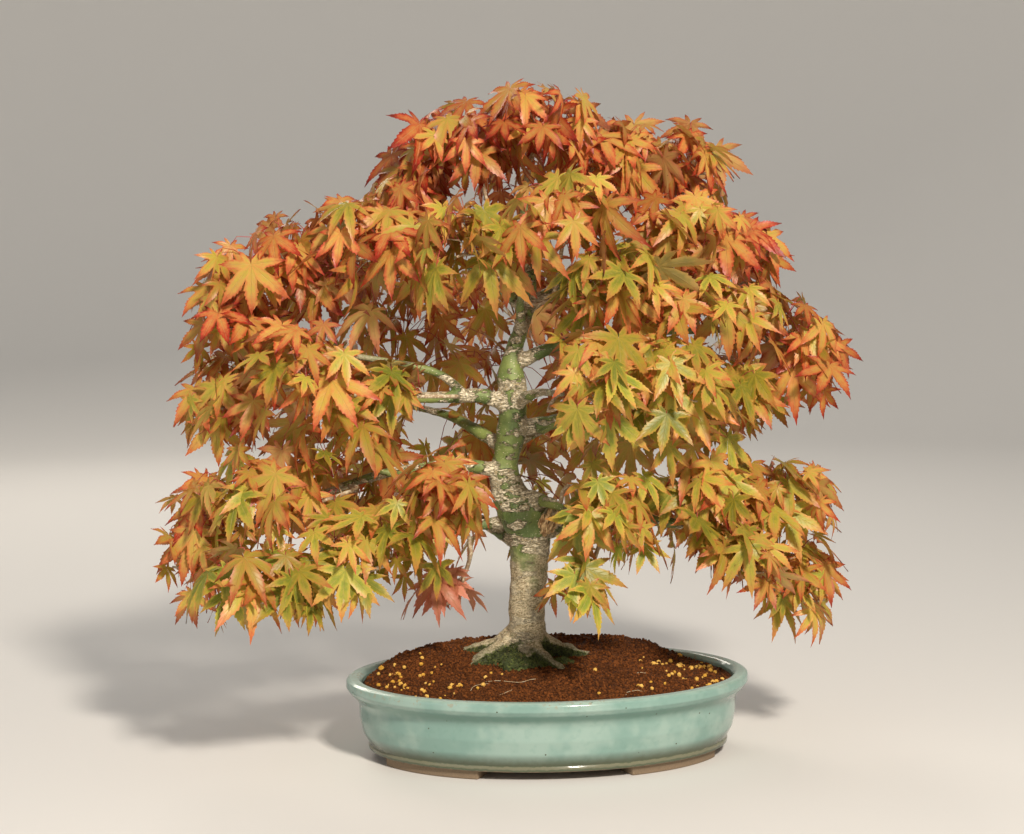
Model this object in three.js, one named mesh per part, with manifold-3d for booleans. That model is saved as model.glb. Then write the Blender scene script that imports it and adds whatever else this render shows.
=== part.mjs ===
// Japanese maple bonsai in an oval glazed pot, in millimetres, +Z up.
// It is modelled round the pot's centre, with X along the pot and -Y towards the viewer,
// and moved at the end so that the origin is the middle of the underside.

import * as THREE from 'three';
import { mergeVertices } from 'three/addons/utils/BufferGeometryUtils.js';
import Module from 'manifold-3d';

const wasm = await Module();
wasm.setup();

// Pot: half length and half width of the lip, and heights above the table
const POT_HALF_LENGTH = 200;
const POT_HALF_WIDTH = 151.5;
// Width over length of the ovals inside the floor, which can't be set in evenly any more
const INNER_NARROWNESS = 0.7;
const POT_FACETS = 32;
const FOOT_HEIGHT = 9;
const LEDGE_TOP = 15;
const LIP_LOW = 66;
const RIM_HEIGHT = 79.3;
const LIP_WIDTH = 16;
const LIP_ROUND = 3.5;
const WALL_INSET = 13;
const WALL_LOW = 40;
const WALL_HIGH = 58;
const BELLY_INSET = 16;
const BELLY_HEIGHT = 27;
const LEDGE_INSET = 21.5;

// The hollow inside: the neck under the lip, the wall, the curve into the floor, and the floor
const NECK = [16.5, 64];
const INNER_WALL = [20.5, 57];
const INNER_CURVE = [22.5, 30];
const FLOOR_TOP = 20;
const FLOOR_INSET = 36;

const FOOT_INSET = 28;
const FOOT_DEPTH = 20;
const FOOT_BEVEL = 2;
// Start and end of each foot, in degrees round the oval
const FOOT_SPANS = [[202, 245], [295, 338], [22, 65], [115, 158]];
const DRAIN_RADIUS = 12;
const DRAIN_FACETS = 14;
const DRAIN_OFFSET = 78;

// Drainage screens
const SCREEN_SIDE = 38;
const SCREEN_THICK = 1.6;
const SCREEN_MESH = 3;
const SCREEN_BAR = 3.5;

// Soil: heights of its surface at the lip and at the trunk
const SOIL_EDGE = 72;
const MOUND_HEIGHT = 21;
const MOUND_RINGS = [0.8, 0.5];
const MOUND_POINT = 1.3;

// Bank of soil behind the trunk: its height and the way it lies from the pot's middle, in degrees
const BANK_HEIGHT = 19;
const BANK_ANGLE = 110;
const BANK_POINT = 2.4;
const CLEARANCE = 0.35;

// Trunk foot, where the mound is highest
const FOOT_X = -22;
const FOOT_Y = 10;

// Leaves: length of the middle lobe, and how the rest follows from it
const LOBE_LENGTH = 43;
const LOBE_ANGLES = [-92, -43, 0, 43, 92];
const LOBE_SHARES = [0.62, 0.92, 1, 0.92, 0.62];
const NOTCH_ANGLES = [-66, -21, 21, 66];
const NOTCH_SHARE = 0.36;
// The heel of the blade, where the stalk joins it from below
const HEEL_ANGLE = 150;
const HEEL_REACH = 5;
const KEEL_REACH = 4.5;
const BLADE_HALF = 0.45;
const HEART_HALF = 0.6;
const LOBE_DROOP = 6;
const STALK_HALF = 0.9;
const STALK_TIP = 0.4;
const JOINT_REACH = 3;
const LEAF_TRIES = 120;

// Vertices closer than this are one vertex
const WELD = 1e-4;
// No two corners of a joined solid come closer than this
const CLOSEST_CORNERS = 0.004;

const rad = THREE.MathUtils.degToRad;
const vec = (x, y, z) => new THREE.Vector3(x, y, z);
const UP = vec(0, 0, 1);

// Solids and booleans

function solid(geometry) {
  const bare = geometry.clone();
  bare.deleteAttribute('normal');
  bare.deleteAttribute('uv');
  const merged = mergeVertices(bare, WELD);
  return new wasm.Manifold(new wasm.Mesh({
    numProp: 3,
    vertProperties: new Float32Array(merged.attributes.position.array),
    triVerts: new Uint32Array(merged.index.array),
  }));
}

function toGeometry(body) {
  const mesh = body.getMesh();
  const geometry = new THREE.BufferGeometry();
  geometry.setAttribute('position', new THREE.BufferAttribute(mesh.vertProperties, 3));
  geometry.setIndex(new THREE.BufferAttribute(mesh.triVerts, 1));
  return geometry;
}

function largestBody(body) {
  const pieces = body.decompose();
  return pieces.reduce((best, piece) => (piece.volume() > best.volume() ? piece : best));
}

// A join is kept only where it gives one closed body with no two corners almost touching

function isSound(body) {
  if (body.decompose().length !== 1) return false;
  const { vertProperties } = body.getMesh();
  const corners = [];
  for (let k = 0; k < vertProperties.length; k += 3) corners.push(vertProperties.subarray(k, k + 3));
  corners.sort((a, b) => a[0] - b[0]);
  return corners.every((a, i) => {
    for (let j = i + 1; j < corners.length && corners[j][0] - a[0] < CLOSEST_CORNERS; j++) {
      const b = corners[j];
      if (Math.hypot(a[0] - b[0], a[1] - b[1], a[2] - b[2]) < CLOSEST_CORNERS) return false;
    }
    return true;
  });
}

function faceSet(points, faces) {
  const geometry = new THREE.BufferGeometry();
  geometry.setFromPoints(points);
  geometry.setIndex(faces.flat());
  return geometry;
}

// A tapered tube through a row of points, with a flat end at each end

function tube(points, radii, sides, firstTangent) {
  const last = points.length - 1;
  const rings = [];
  let side = null;
  points.forEach((point, i) => {
    const tangent = points[Math.min(i + 1, last)].clone().sub(points[Math.max(i - 1, 0)]).normalize();
    if (i === 0 && firstTangent) tangent.copy(firstTangent);
    side ??= Math.abs(tangent.z) > 0.9 ? vec(1, 0, 0) : UP.clone();
    side = side.clone().addScaledVector(tangent, -side.dot(tangent)).normalize();
    const other = tangent.clone().cross(side);
    for (let k = 0; k < sides; k++) {
      const turn = (k / sides) * 2 * Math.PI;
      rings.push(point.clone()
        .addScaledVector(side, radii[i] * Math.cos(turn))
        .addScaledVector(other, radii[i] * Math.sin(turn)));
    }
  });
  const faces = [];
  for (let i = 0; i < last; i++) {
    for (let k = 0; k < sides; k++) {
      const a = i * sides + k;
      const b = i * sides + ((k + 1) % sides);
      faces.push([a, b, b + sides], [a, b + sides, a + sides]);
    }
  }
  for (let k = 1; k < sides - 1; k++) {
    faces.push([0, k + 1, k], [last * sides, last * sides + k, last * sides + k + 1]);
  }
  return faceSet(rings, faces);
}

// Pot, screens and soil share one set of ovals, each set in evenly from the lip

function ovalSolid(profile, centre = vec(0, 0, 0), lift = () => 0) {
  const lathe = new THREE.LatheGeometry(profile.map(([r, z]) => new THREE.Vector2(r, z)), POT_FACETS);
  const positions = lathe.attributes.position;
  for (let i = 0; i < positions.count; i++) {
    const x = positions.getX(i);
    const y = -positions.getZ(i);
    const radius = Math.hypot(x, y);
    const narrow = Math.max(radius - (POT_HALF_LENGTH - POT_HALF_WIDTH), radius * INNER_NARROWNESS);
    const squeeze = radius > 0 ? narrow / radius : 1;
    const height = positions.getY(i);
    const share = Math.max(height - SOIL_EDGE, 0) / MOUND_HEIGHT;
    const [across, deep] = [x + centre.x * share, y * squeeze + centre.y * share];
    positions.setXYZ(i, across, deep, height + lift(across, deep, height));
  }
  return solid(lathe);
}

const inset = (distance) => POT_HALF_LENGTH - distance;
const hollow = ([distance, height], gap = 0) => [inset(distance + gap), height];

function makePot() {
  let pot = ovalSolid([
    [0, FOOT_HEIGHT], [inset(LEDGE_INSET), FOOT_HEIGHT], [inset(LEDGE_INSET), LEDGE_TOP],
    [inset(LEDGE_INSET + 1), LEDGE_TOP + 1], [inset(BELLY_INSET), BELLY_HEIGHT],
    [inset(WALL_INSET), WALL_LOW], [inset(WALL_INSET), WALL_HIGH],
    [inset(LIP_ROUND / 2), LIP_LOW], [inset(0), LIP_LOW + LIP_ROUND], [inset(0), RIM_HEIGHT - LIP_ROUND],
    [inset(LIP_ROUND), RIM_HEIGHT], [inset(LIP_WIDTH - LIP_ROUND), RIM_HEIGHT],
    [inset(LIP_WIDTH), RIM_HEIGHT - LIP_ROUND], hollow(NECK), hollow(INNER_WALL), hollow(INNER_CURVE),
    [inset(FLOOR_INSET), FLOOR_TOP], [0, FLOOR_TOP],
  ]);
  for (const [from, to] of FOOT_SPANS) pot = pot.add(makeFoot(from, to));
  for (const x of [-DRAIN_OFFSET, DRAIN_OFFSET]) {
    const drill = new THREE.CylinderGeometry(DRAIN_RADIUS, DRAIN_RADIUS, FLOOR_TOP * 3, DRAIN_FACETS);
    drill.rotateX(Math.PI / 2);
    drill.translate(x, 0, FLOOR_TOP);
    pot = pot.subtract(solid(drill));
  }
  return pot;
}

function makeFoot(from, to) {
  const ovalPoint = (degrees, distance) => [
    (POT_HALF_LENGTH - distance) * Math.cos(rad(degrees)),
    (POT_HALF_WIDTH - distance) * Math.sin(rad(degrees)),
  ];
  const steps = 4;
  const angles = Array.from({ length: steps + 1 }, (_, i) => from + ((to - from) * i) / steps);
  const outer = angles.map((a) => ovalPoint(a, FOOT_INSET));
  const inner = angles.map((a) => ovalPoint(a, FOOT_INSET + FOOT_DEPTH)).reverse();
  const shape = new THREE.Shape([...outer, ...inner].map(([x, y]) => new THREE.Vector2(x, y)));
  const foot = new THREE.ExtrudeGeometry(shape, {
    depth: FOOT_HEIGHT, bevelThickness: FOOT_BEVEL, bevelSize: FOOT_BEVEL, bevelSegments: 1,
  });
  foot.translate(0, 0, FOOT_BEVEL);
  return solid(foot);
}

function makeScreen() {
  const plate = new THREE.BoxGeometry(SCREEN_SIDE, SCREEN_SIDE, SCREEN_THICK);
  let screen = solid(plate);
  const pitch = (SCREEN_SIDE - SCREEN_BAR) / SCREEN_MESH;
  for (let i = 0; i < SCREEN_MESH; i++) {
    for (let j = 0; j < SCREEN_MESH; j++) {
      const hole = new THREE.BoxGeometry(pitch - SCREEN_BAR, pitch - SCREEN_BAR, SCREEN_THICK * 2);
      const middle = (SCREEN_MESH - 1) / 2;
      hole.translate((i - middle) * pitch, (j - middle) * pitch, 0);
      screen = screen.subtract(solid(hole));
    }
  }
  const geometry = toGeometry(screen);
  geometry.translate(0, 0, FLOOR_TOP + CLEARANCE + SCREEN_THICK / 2);
  return geometry;
}

function bankAt(x, y, height) {
  const [edge] = hollow(NECK);
  const across = x / edge;
  const deep = y / (edge - POT_HALF_LENGTH + POT_HALF_WIDTH);
  const share = Math.min(Math.hypot(across, deep), 1);
  const towards = across * Math.cos(rad(BANK_ANGLE)) + deep * Math.sin(rad(BANK_ANGLE));
  if (share === 0 || height <= SOIL_EDGE) return 0;
  const side = THREE.MathUtils.smoothstep(towards / share, -0.1, 0.5);
  return BANK_HEIGHT * side * Math.sin(Math.PI * share ** BANK_POINT);
}

function makeSoil(rootBall) {
  const [edge] = hollow(NECK, CLEARANCE);
  const surface = MOUND_RINGS.map((share) => [
    edge * share, SOIL_EDGE + MOUND_HEIGHT * Math.cos((share * Math.PI) / 2) ** MOUND_POINT,
  ]);
  const base = FLOOR_TOP + CLEARANCE;
  const [curveReach, curveHeight] = hollow(INNER_CURVE, CLEARANCE);
  let soil = ovalSolid([
    [0, base], [inset(FLOOR_INSET + CLEARANCE), base], [curveReach, curveHeight + CLEARANCE],
    hollow(INNER_WALL, CLEARANCE), hollow(NECK, CLEARANCE), [edge, SOIL_EDGE], ...surface,
    [0, SOIL_EDGE + MOUND_HEIGHT],
  ], vec(FOOT_X, FOOT_Y, 0), bankAt);
  for (const x of [-DRAIN_OFFSET, DRAIN_OFFSET]) {
    const room = SCREEN_SIDE + 2 * CLEARANCE;
    const pocket = new THREE.BoxGeometry(room, room, 2 * (SCREEN_THICK + 2 * CLEARANCE));
    pocket.translate(x, 0, FLOOR_TOP);
    soil = soil.subtract(solid(pocket));
  }
  return largestBody(soil.subtract(rootBall));
}

// Wood: each row is x, y, z and radius along one root, trunk or branch

const TRUNK = [
  [-22, 10, 46, 20], [-22, 10, 78, 27], [-22, 9, 94, 24.5], [-20, 6, 112, 19.5], [-19, 2, 144, 17.9],
  [-16, 0, 189, 18.9], [-16, -2, 218, 20.6], [-23, -2, 238, 22.5], [-34, 0, 256, 17.5],
  [-39, 3, 276, 14.6], [-37, 4, 294, 12.4], [-32.5, 2, 314, 14], [-30, 0, 336, 13.2],
  [-28.5, -2, 354, 12.6], [-30.5, -2, 370, 13.4], [-31, 0, 384, 11], [-27, 4, 402, 8.2],
  [-15, 6, 437, 6.9], [-10.5, 4, 470, 5.6], [-15, 2, 510, 4.6], [-15, 0, 550, 3.6], [-8, -2, 586, 2.6],
];

const ROOTS = [
  [[-28, 13, 118, 12], [-46, 24, 99, 10], [-68, 38, 90, 7], [-94, 54, 80, 3]],
  [[-27, 8, 116, 12], [-45, 3, 99, 9.5], [-64, -5, 90, 6.5], [-88, -17, 79, 3]],
  [[-22, 4, 116, 12], [-21, -11, 99, 10.5], [-28, -27, 90, 7.5], [-37, -46, 79, 3]],
  [[-17, 6, 116, 11], [-7, -8, 99, 8.5], [6, -19, 90, 6], [22, -32, 80, 3]],
  [[-14, 11, 114, 12], [9, 16, 99, 9], [34, 24, 90, 6], [64, 35, 79, 3]],
  [[-16, 15, 114, 11], [-1, 36, 98, 8.5], [15, 56, 89, 6], [31, 78, 78, 3]],
  [[-25, 17, 114, 11], [-32, 43, 98, 8.5], [-39, 65, 89, 6], [-46, 86, 78, 3]],
];

// Healed stumps of old branches, short and thick
const STUMPS = [
  [[-16, 0, 236, 19], [6, -5, 234, 11]],
  [[-20, 0, 242, 20], [-44, -8, 240, 9]],
  [[-30, 0, 349, 13], [-46, -4, 352, 8]],
];

const BRANCHES = {
  left_main: [[-33, 0, 346, 8], [-60, -4, 356, 7], [-89, -8, 356, 6], [-143, -14, 357, 4.8],
    [-200, -16, 368, 3.4]],
  left_fork: [[-76, -6, 357, 5], [-104, -12, 380, 4.2], [-155, -18, 393, 3.6], [-216, -14, 404, 2.8]],
  left_low: [[-42, 2, 279, 8], [-81, -6, 288, 6], [-160, -14, 282, 4.6], [-225, -22, 262, 3.2]],
  left_lowest: [[-28, 4, 230, 7], [-80, 2, 226, 4.8], [-130, -6, 215, 4], [-188, -26, 206, 2.8]],
  left_high: [[-15, 5, 438, 6], [-60, -4, 478, 4.4], [-120, -12, 500, 3.6], [-186, -16, 496, 2.6]],
  right_low: [[-8, 0, 240, 9], [60, -4, 236, 6.4], [129, -8, 226, 4.8], [200, -4, 210, 3.2]],
  right_mid: [[-26, 0, 322, 8], [40, -26, 338, 5.2], [96, -44, 344, 4], [142, -38, 342, 2.8]],
  right_upper: [[-28, 0, 386, 7], [10, 4, 402, 6], [59, 10, 414, 5], [140, 4, 416, 4], [200, 6, 414, 3.2],
    [236, 8, 400, 2.6]],
  right_high: [[-14, 5, 440, 6], [38, 6, 478, 4.4], [90, 4, 506, 3.6], [128, 8, 538, 2.6]],
  front_high: [[-20, 3, 420, 6], [-22, -30, 450, 3.8], [-20, -64, 482, 2.6]],
  front_mid: [[-26, -4, 350, 7], [-6, -50, 362, 4], [14, -96, 364, 2.6]],
  front_low: [[-14, -2, 254, 8], [12, -44, 250, 4.2], [32, -72, 236, 2.6]],
  back_high: [[-16, 6, 428, 6], [-12, 52, 460, 4], [0, 90, 506, 2.6]],
  back_mid: [[-29, 4, 330, 8], [-26, 66, 368, 4.6], [-20, 132, 404, 2.8]],
  back_left: [[-36, 6, 302, 8], [-90, 62, 330, 4.6], [-148, 106, 342, 2.8]],
  back_right: [[-32, 6, 310, 8], [40, 62, 330, 4.6], [118, 104, 336, 2.8]],
  back_low: [[-26, 6, 244, 9], [-32, 72, 262, 4.6], [-32, 138, 262, 2.8]],
  back_low_left: [[-20, 6, 206, 9], [-78, 56, 232, 4.4], [-124, 92, 232, 2.8]],
  back_low_right: [[-14, 4, 212, 9], [46, 58, 226, 4.4], [88, 94, 224, 2.8]],
};

const points3 = (rows) => rows.map(([x, y, z]) => vec(x, y, z));

function smoothTube(rows, steps, sides, grow = 0) {
  const curve = new THREE.CatmullRomCurve3(points3(rows), false, 'catmullrom');
  const points = Array.from({ length: steps + 1 }, (_, i) => curve.getPoint(i / steps));
  const radii = points.map((_, i) => {
    const place = (i / steps) * (rows.length - 1);
    const k = Math.min(Math.floor(place), rows.length - 2);
    return THREE.MathUtils.lerp(rows[k][3], rows[k + 1][3], place - k) + grow;
  });
  return solid(tube(points, radii, sides));
}

function makeFootWood(grow) {
  let foot = smoothTube(TRUNK.slice(0, 6), 4, 8, grow);
  for (const root of ROOTS) foot = foot.add(smoothTube(root, 3, 5, grow));
  return foot;
}

function makeWood() {
  let wood = makeFootWood(0).add(smoothTube(TRUNK.slice(4), 15, 8));
  for (const stump of STUMPS) wood = wood.add(smoothTube(stump, 1, 7));
  for (const rows of Object.values(BRANCHES)) {
    wood = wood.add(smoothTube(rows, rows.length - 1, 5));
  }
  return largestBody(wood);
}

// Leafy sprays: middle and half sizes of each cloud of leaves, how many leaves, and where its
// twig starts (a branch, and a place on it counted in that branch's rows), and its colour

const SPRAYS = [
  ['apex_left', [-67, 0, 607], [60, 70, 44], 6, 'leader', 3.5, 'orange'],
  ['apex_centre', [5, -15, 624], [58, 70, 42], 6, 'leader', 5, 'orange'],
  ['apex_right', [75, 10, 584], [51, 65, 43], 5, 'leader', 4, 'orange'],
  ['shoulder_left', [-128, 20, 568], [41, 60, 39], 5, 'left_high', 1, 'orange'],
  ['shoulder_right', [152, 20, 578], [54, 60, 43], 5, 'right_high', 3, 'orange'],
  ['upper_left_inner', [-164, -40, 505], [69, 65, 54], 6, 'left_high', 2, 'amber'],
  ['upper_left', [-254, -10, 495], [70, 70, 48], 6, 'left_high', 3, 'orange'],
  ['upper_left_tip', [-308, 0, 443], [45, 60, 54], 5, 'left_fork', 3, 'orange'],
  ['mid_left_tip', [-314, 0, 357], [45, 55, 45], 5, 'left_main', 4, 'amber'],
  ['mid_left', [-234, -70, 382], [59, 55, 53], 5, 'left_main', 3.4, 'amber'],
  ['mid_left_inner', [-140, -44, 366], [36, 35, 30], 3, 'left_main', 2, 'gold'],
  ['low_left_tip', [-346, 0, 211], [43, 60, 71], 6, 'left_low', 3, 'orange'],
  ['low_left_top', [-269, -50, 256], [71, 65, 48], 6, 'left_low', 2.5, 'amber'],
  ['low_left_front', [-264, -99, 185], [70, 50, 42], 5, 'left_lowest', 3, 'gold'],
  ['low_left_inner', [-170, -80, 208], [69, 55, 50], 5, 'left_lowest', 2, 'gold'],
  ['low_left_near', [-104, -100, 268], [45, 45, 36], 4, 'left_low', 1, 'orange'],
  ['low_inner', [-94, -20, 160], [41, 40, 26], 3, 'left_lowest', 1, 'rose'],
  ['front_left', [-71, -95, 506], [58, 55, 43], 5, 'front_high', 2, 'gold'],
  ['front_centre', [18, -100, 526], [58, 55, 43], 5, 'front_high', 1, 'amber'],
  ['front_right', [62, -90, 463], [53, 50, 38], 5, 'right_upper', 2, 'gold'],
  ['upper_right', [145, -30, 509], [58, 60, 44], 5, 'right_high', 2, 'amber'],
  ['upper_right_tip', [215, 30, 493], [36, 50, 34], 4, 'right_upper', 3, 'orange'],
  ['mid_right_upper', [139, -60, 443], [64, 55, 36], 5, 'right_upper', 2.6, 'gold'],
  ['mid_front', [31, -140, 374], [54, 50, 54], 5, 'front_mid', 1.8, 'gold'],
  ['mid_right', [117, -100, 368], [53, 50, 49], 5, 'right_mid', 2, 'gold'],
  ['mid_right_outer', [187, -20, 346], [43, 50, 41], 5, 'right_mid', 3, 'gold'],
  ['far_right', [223, 0, 423], [46, 55, 41], 4, 'right_upper', 4, 'orange'],
  ['far_right_tip', [276, 10, 386], [40, 55, 58], 5, 'right_upper', 5, 'orange'],
  ['low_right_inner', [54, -100, 239], [56, 50, 53], 5, 'front_low', 1, 'gold'],
  ['low_front', [26, -110, 173], [36, 40, 36], 4, 'front_low', 2, 'gold'],
  ['low_right', [164, -40, 241], [51, 55, 51], 5, 'right_low', 2, 'amber'],
  ['low_right_outer', [244, 0, 248], [58, 60, 42], 5, 'right_low', 3, 'amber'],
  ['low_right_tip', [255, 0, 158], [46, 55, 52], 5, 'right_low', 2.6, 'orange'],
  ['low_right_front', [185, -82, 198], [41, 45, 37], 4, 'right_low', 2.3, 'amber'],
  ['back_top', [20, 112, 556], [82, 62, 52], 5, 'back_high', 2, 'orange'],
  ['back_upper_left', [-166, 112, 480], [82, 62, 52], 5, 'left_high', 1.5, 'orange'],
  ['back_upper_right', [150, 116, 474], [80, 62, 50], 5, 'right_high', 1.5, 'orange'],
  ['back_mid', [-16, 196, 430], [84, 58, 54], 5, 'back_mid', 2, 'orange'],
  ['back_mid_left', [-212, 134, 352], [76, 62, 54], 6, 'back_left', 2, 'amber'],
  ['back_mid_right', [180, 132, 342], [78, 62, 54], 6, 'back_right', 2, 'amber'],
  ['back_low_left', [-186, 118, 226], [82, 64, 50], 6, 'back_low_left', 2, 'amber'],
  ['back_low', [-34, 194, 268], [84, 58, 50], 4, 'back_low', 2, 'gold'],
  ['back_low_right', [142, 118, 214], [82, 62, 48], 6, 'back_low_right', 2, 'amber'],
].map(([name, middle, half, count, branch, place, tint]) => (
  { name, middle: vec(...middle), half: vec(...half), count, branch, place, tint }));

// How leaves spread over their cloud: two shares that never repeat, how far down the cloud they
// go, how deep in it and how far above its middle they sit
const SPREAD_ONE = 0.7548776662;
const SPREAD_TWO = 0.569840291;
const CLOUD_DEPTH = 1.4;
const LEAF_DEPTH = [0.5, 0.7];
const LEAF_LIFT = 0.3;
const LEAF_SIZE = [0.88, 1.12];

// How leaves hang, in degrees, and the length of twig that a stalk may move along
const LEAF_TURN = 40;
const LEAF_DROOP = [24, 58];
const LOW_DROOP = 14;
const LEAF_ROLL = 50;
const STALK_NUDGE = 16;
const OUTWARD_PULL = 0.5;

// Stalks keep off the ends of a stretch of twig, as shares of its length
const STALK_ZONE = [0.06, 0.94];

// The top of the trunk is a branch of its own for the twigs that grow from it
const LEADER_ROW = 16;
const TWIG_GAP = 0.25;
const SEAT_STEP = 0.1;
const SIDE_TWIG = 0.6;
const FLAT_OF_BRANCH = 0.78;
const TWIG_THICKEST = 2.4;
const TWIG_TAPER = [1, 0.9, 0.8];
const TWIG_TIP = 1.3;
const TWIG_SIDES = 4;

// A twig runs straight off its branch to a bend, then to the heart of its cloud and on outwards,
// a little lower: shares of the way to the heart and of the cloud's half sizes
const BEND_SHARE = 0.35;
const BEND_FARTHEST = 30;
const HEART_LOWER = 0.2;
const END_OUTER = 0.5;
const END_LOWER = 0.05;

// A repeatable draw between 0 and 1 for leaf number `leaf` of spray number `spray`

function draw(spray, leaf, channel) {
  let n = Math.imul(spray + 1, 73856093) ^ Math.imul(leaf + 1, 19349663) ^ Math.imul(channel + 1, 83492791);
  n = Math.imul(n ^ (n >>> 15), 0x2c1b3c6d);
  n = Math.imul(n ^ (n >>> 12), 0x297a2d39);
  return ((n ^ (n >>> 15)) >>> 0) / 4294967296;
}

// Where a twig leaves its branch: on from its end, or square to its side

function twigRoot({ branch, place }, target) {
  const rows = BRANCHES[branch] ?? TRUNK.slice(LEADER_ROW);
  const k = Math.min(Math.floor(place), rows.length - 2);
  const [from, to] = points3(rows.slice(k, k + 2));
  const root = from.clone().lerp(to, place - k);
  const along = to.clone().sub(from).normalize();
  const radius = THREE.MathUtils.lerp(rows[k][3], rows[k + 1][3], place - k);
  if (place === rows.length - 1) return { root, heading: along, thick: radius, reach: 0 };
  const heading = target.clone().sub(root);
  heading.addScaledVector(along, -heading.dot(along)).normalize();
  return { root, heading, thick: radius * SIDE_TWIG, reach: radius * FLAT_OF_BRANCH };
}

function makeSpine(spray, wood) {
  const { middle, half } = spray;
  const outward = vec(middle.x - FOOT_X, middle.y, 0).normalize();
  const heart = middle.clone().add(vec(0, 0, -HEART_LOWER * half.z));
  const end = heart.clone().add(vec(
    outward.x * half.x * END_OUTER, outward.y * half.y * END_OUTER, -END_LOWER * half.z,
  ));
  const { root, heading, thick, reach } = twigRoot(spray, heart);
  const foot = Math.min(thick, TWIG_THICKEST);
  const radii = [...TWIG_TAPER.map((share) => foot * share), TWIG_TIP];
  const route = (distance) => {
    const start = root.clone().addScaledVector(heading, distance);
    const straight = Math.min(BEND_SHARE * start.distanceTo(heart), BEND_FARTHEST);
    const bend = start.clone().addScaledVector(heading, straight);
    return [start, bend, heart, end];
  };
  let distance = reach;
  const twig = (points) => solid(tube(points, radii, TWIG_SIDES, heading));
  while (!twig(route(distance)).intersect(wood).isEmpty()) distance += SEAT_STEP;
  const points = route(distance + TWIG_GAP);
  return { points, outward, body: twig(points) };
}

// The spot on the leafy part of a twig nearest to a leaf, nudged along it so that no two meet

function stalkRoot(points, target, nudge) {
  const spots = points.slice(1, -1).map((point, i) => {
    const stretch = new THREE.Line3(point, points[i + 2]);
    const near = stretch.closestPointToPointParameter(target, true) + nudge / stretch.distance();
    return stretch.at(THREE.MathUtils.clamp(near, ...STALK_ZONE), vec(0, 0, 0));
  });
  return spots.reduce((best, spot) => (
    spot.distanceTo(target) < best.distanceTo(target) ? spot : best));
}

// One palmate leaf on its stalk: five pointed lobes fanned from the heart of the blade

function makeLeaf({ heart, axis, normal, length, stalkEnd }, grow = 0) {
  const side = normal.clone().cross(axis);
  const place = (degrees, reach, lift) => heart.clone()
    .addScaledVector(axis, reach * Math.cos(rad(degrees)))
    .addScaledVector(side, reach * Math.sin(rad(degrees)))
    .addScaledVector(normal, lift);
  const blade = BLADE_HALF + grow;
  const notch = length * NOTCH_SHARE + grow;
  const heel = [-HEEL_ANGLE, HEEL_ANGLE].map((degrees) => place(degrees, HEEL_REACH, 0));
  const tips = LOBE_ANGLES.map((degrees, i) => place(degrees, length * LOBE_SHARES[i] + grow, -LOBE_DROOP));
  const notchTop = NOTCH_ANGLES.map((degrees) => place(degrees, notch, blade));
  const notchLow = NOTCH_ANGLES.map((degrees) => place(degrees, notch, -blade));
  const keel = place(180, KEEL_REACH, -2 * STALK_HALF - grow);
  const top = [heel[0], tips[0], notchTop[0], tips[1], notchTop[1], tips[2], notchTop[2], tips[3],
    notchTop[3], tips[4], heel[1]];
  const away = stalkEnd.clone().sub(keel).normalize();
  const across = side.clone().addScaledVector(away, -side.dot(away)).normalize();
  const below = away.clone().cross(across);
  if (below.dot(normal) > 0) below.negate();
  const stalk = [
    stalkEnd.clone().addScaledVector(across, -STALK_TIP),
    stalkEnd.clone().addScaledVector(across, STALK_TIP),
    stalkEnd.clone().addScaledVector(below, STALK_TIP * 1.5),
  ];
  const points = [...top, ...notchLow, place(0, 0, HEART_HALF + grow), place(0, 0, -HEART_HALF - grow),
    keel, ...stalk];
  const rim = top.length;
  const heartTop = rim + notchLow.length;
  const [heartLow, keelAt, stalkLeft, stalkRight, stalkLow] = [1, 2, 3, 4, 5].map((k) => heartTop + k);
  const faces = [];
  // Each notch has a lower corner of its own, and the two faces of the blade meet everywhere else
  const low = (i) => (i % 2 === 0 && i > 0 && i < rim - 1 ? rim + i / 2 - 1 : i);
  for (let i = 0; i < rim - 1; i++) {
    faces.push([heartTop, i, i + 1], [heartLow, low(i + 1), low(i)]);
    if (low(i) !== i) faces.push([i, low(i), i + 1]);
    if (low(i + 1) !== i + 1) faces.push([i, low(i + 1), i + 1]);
  }
  const heelRight = rim - 1;
  faces.push([heartTop, heelRight, 0], [heartLow, keelAt, heelRight], [heartLow, 0, keelAt]);
  faces.push([0, heelRight, stalkRight], [0, stalkRight, stalkLeft], [heelRight, keelAt, stalkLow],
    [heelRight, stalkLow, stalkRight], [keelAt, 0, stalkLeft], [keelAt, stalkLeft, stalkLow],
    [stalkLeft, stalkRight, stalkLow]);
  return solid(faceSet(points, faces));
}

// Where leaf number `leaf` of a spray sits on its cloud, and how it hangs

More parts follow.
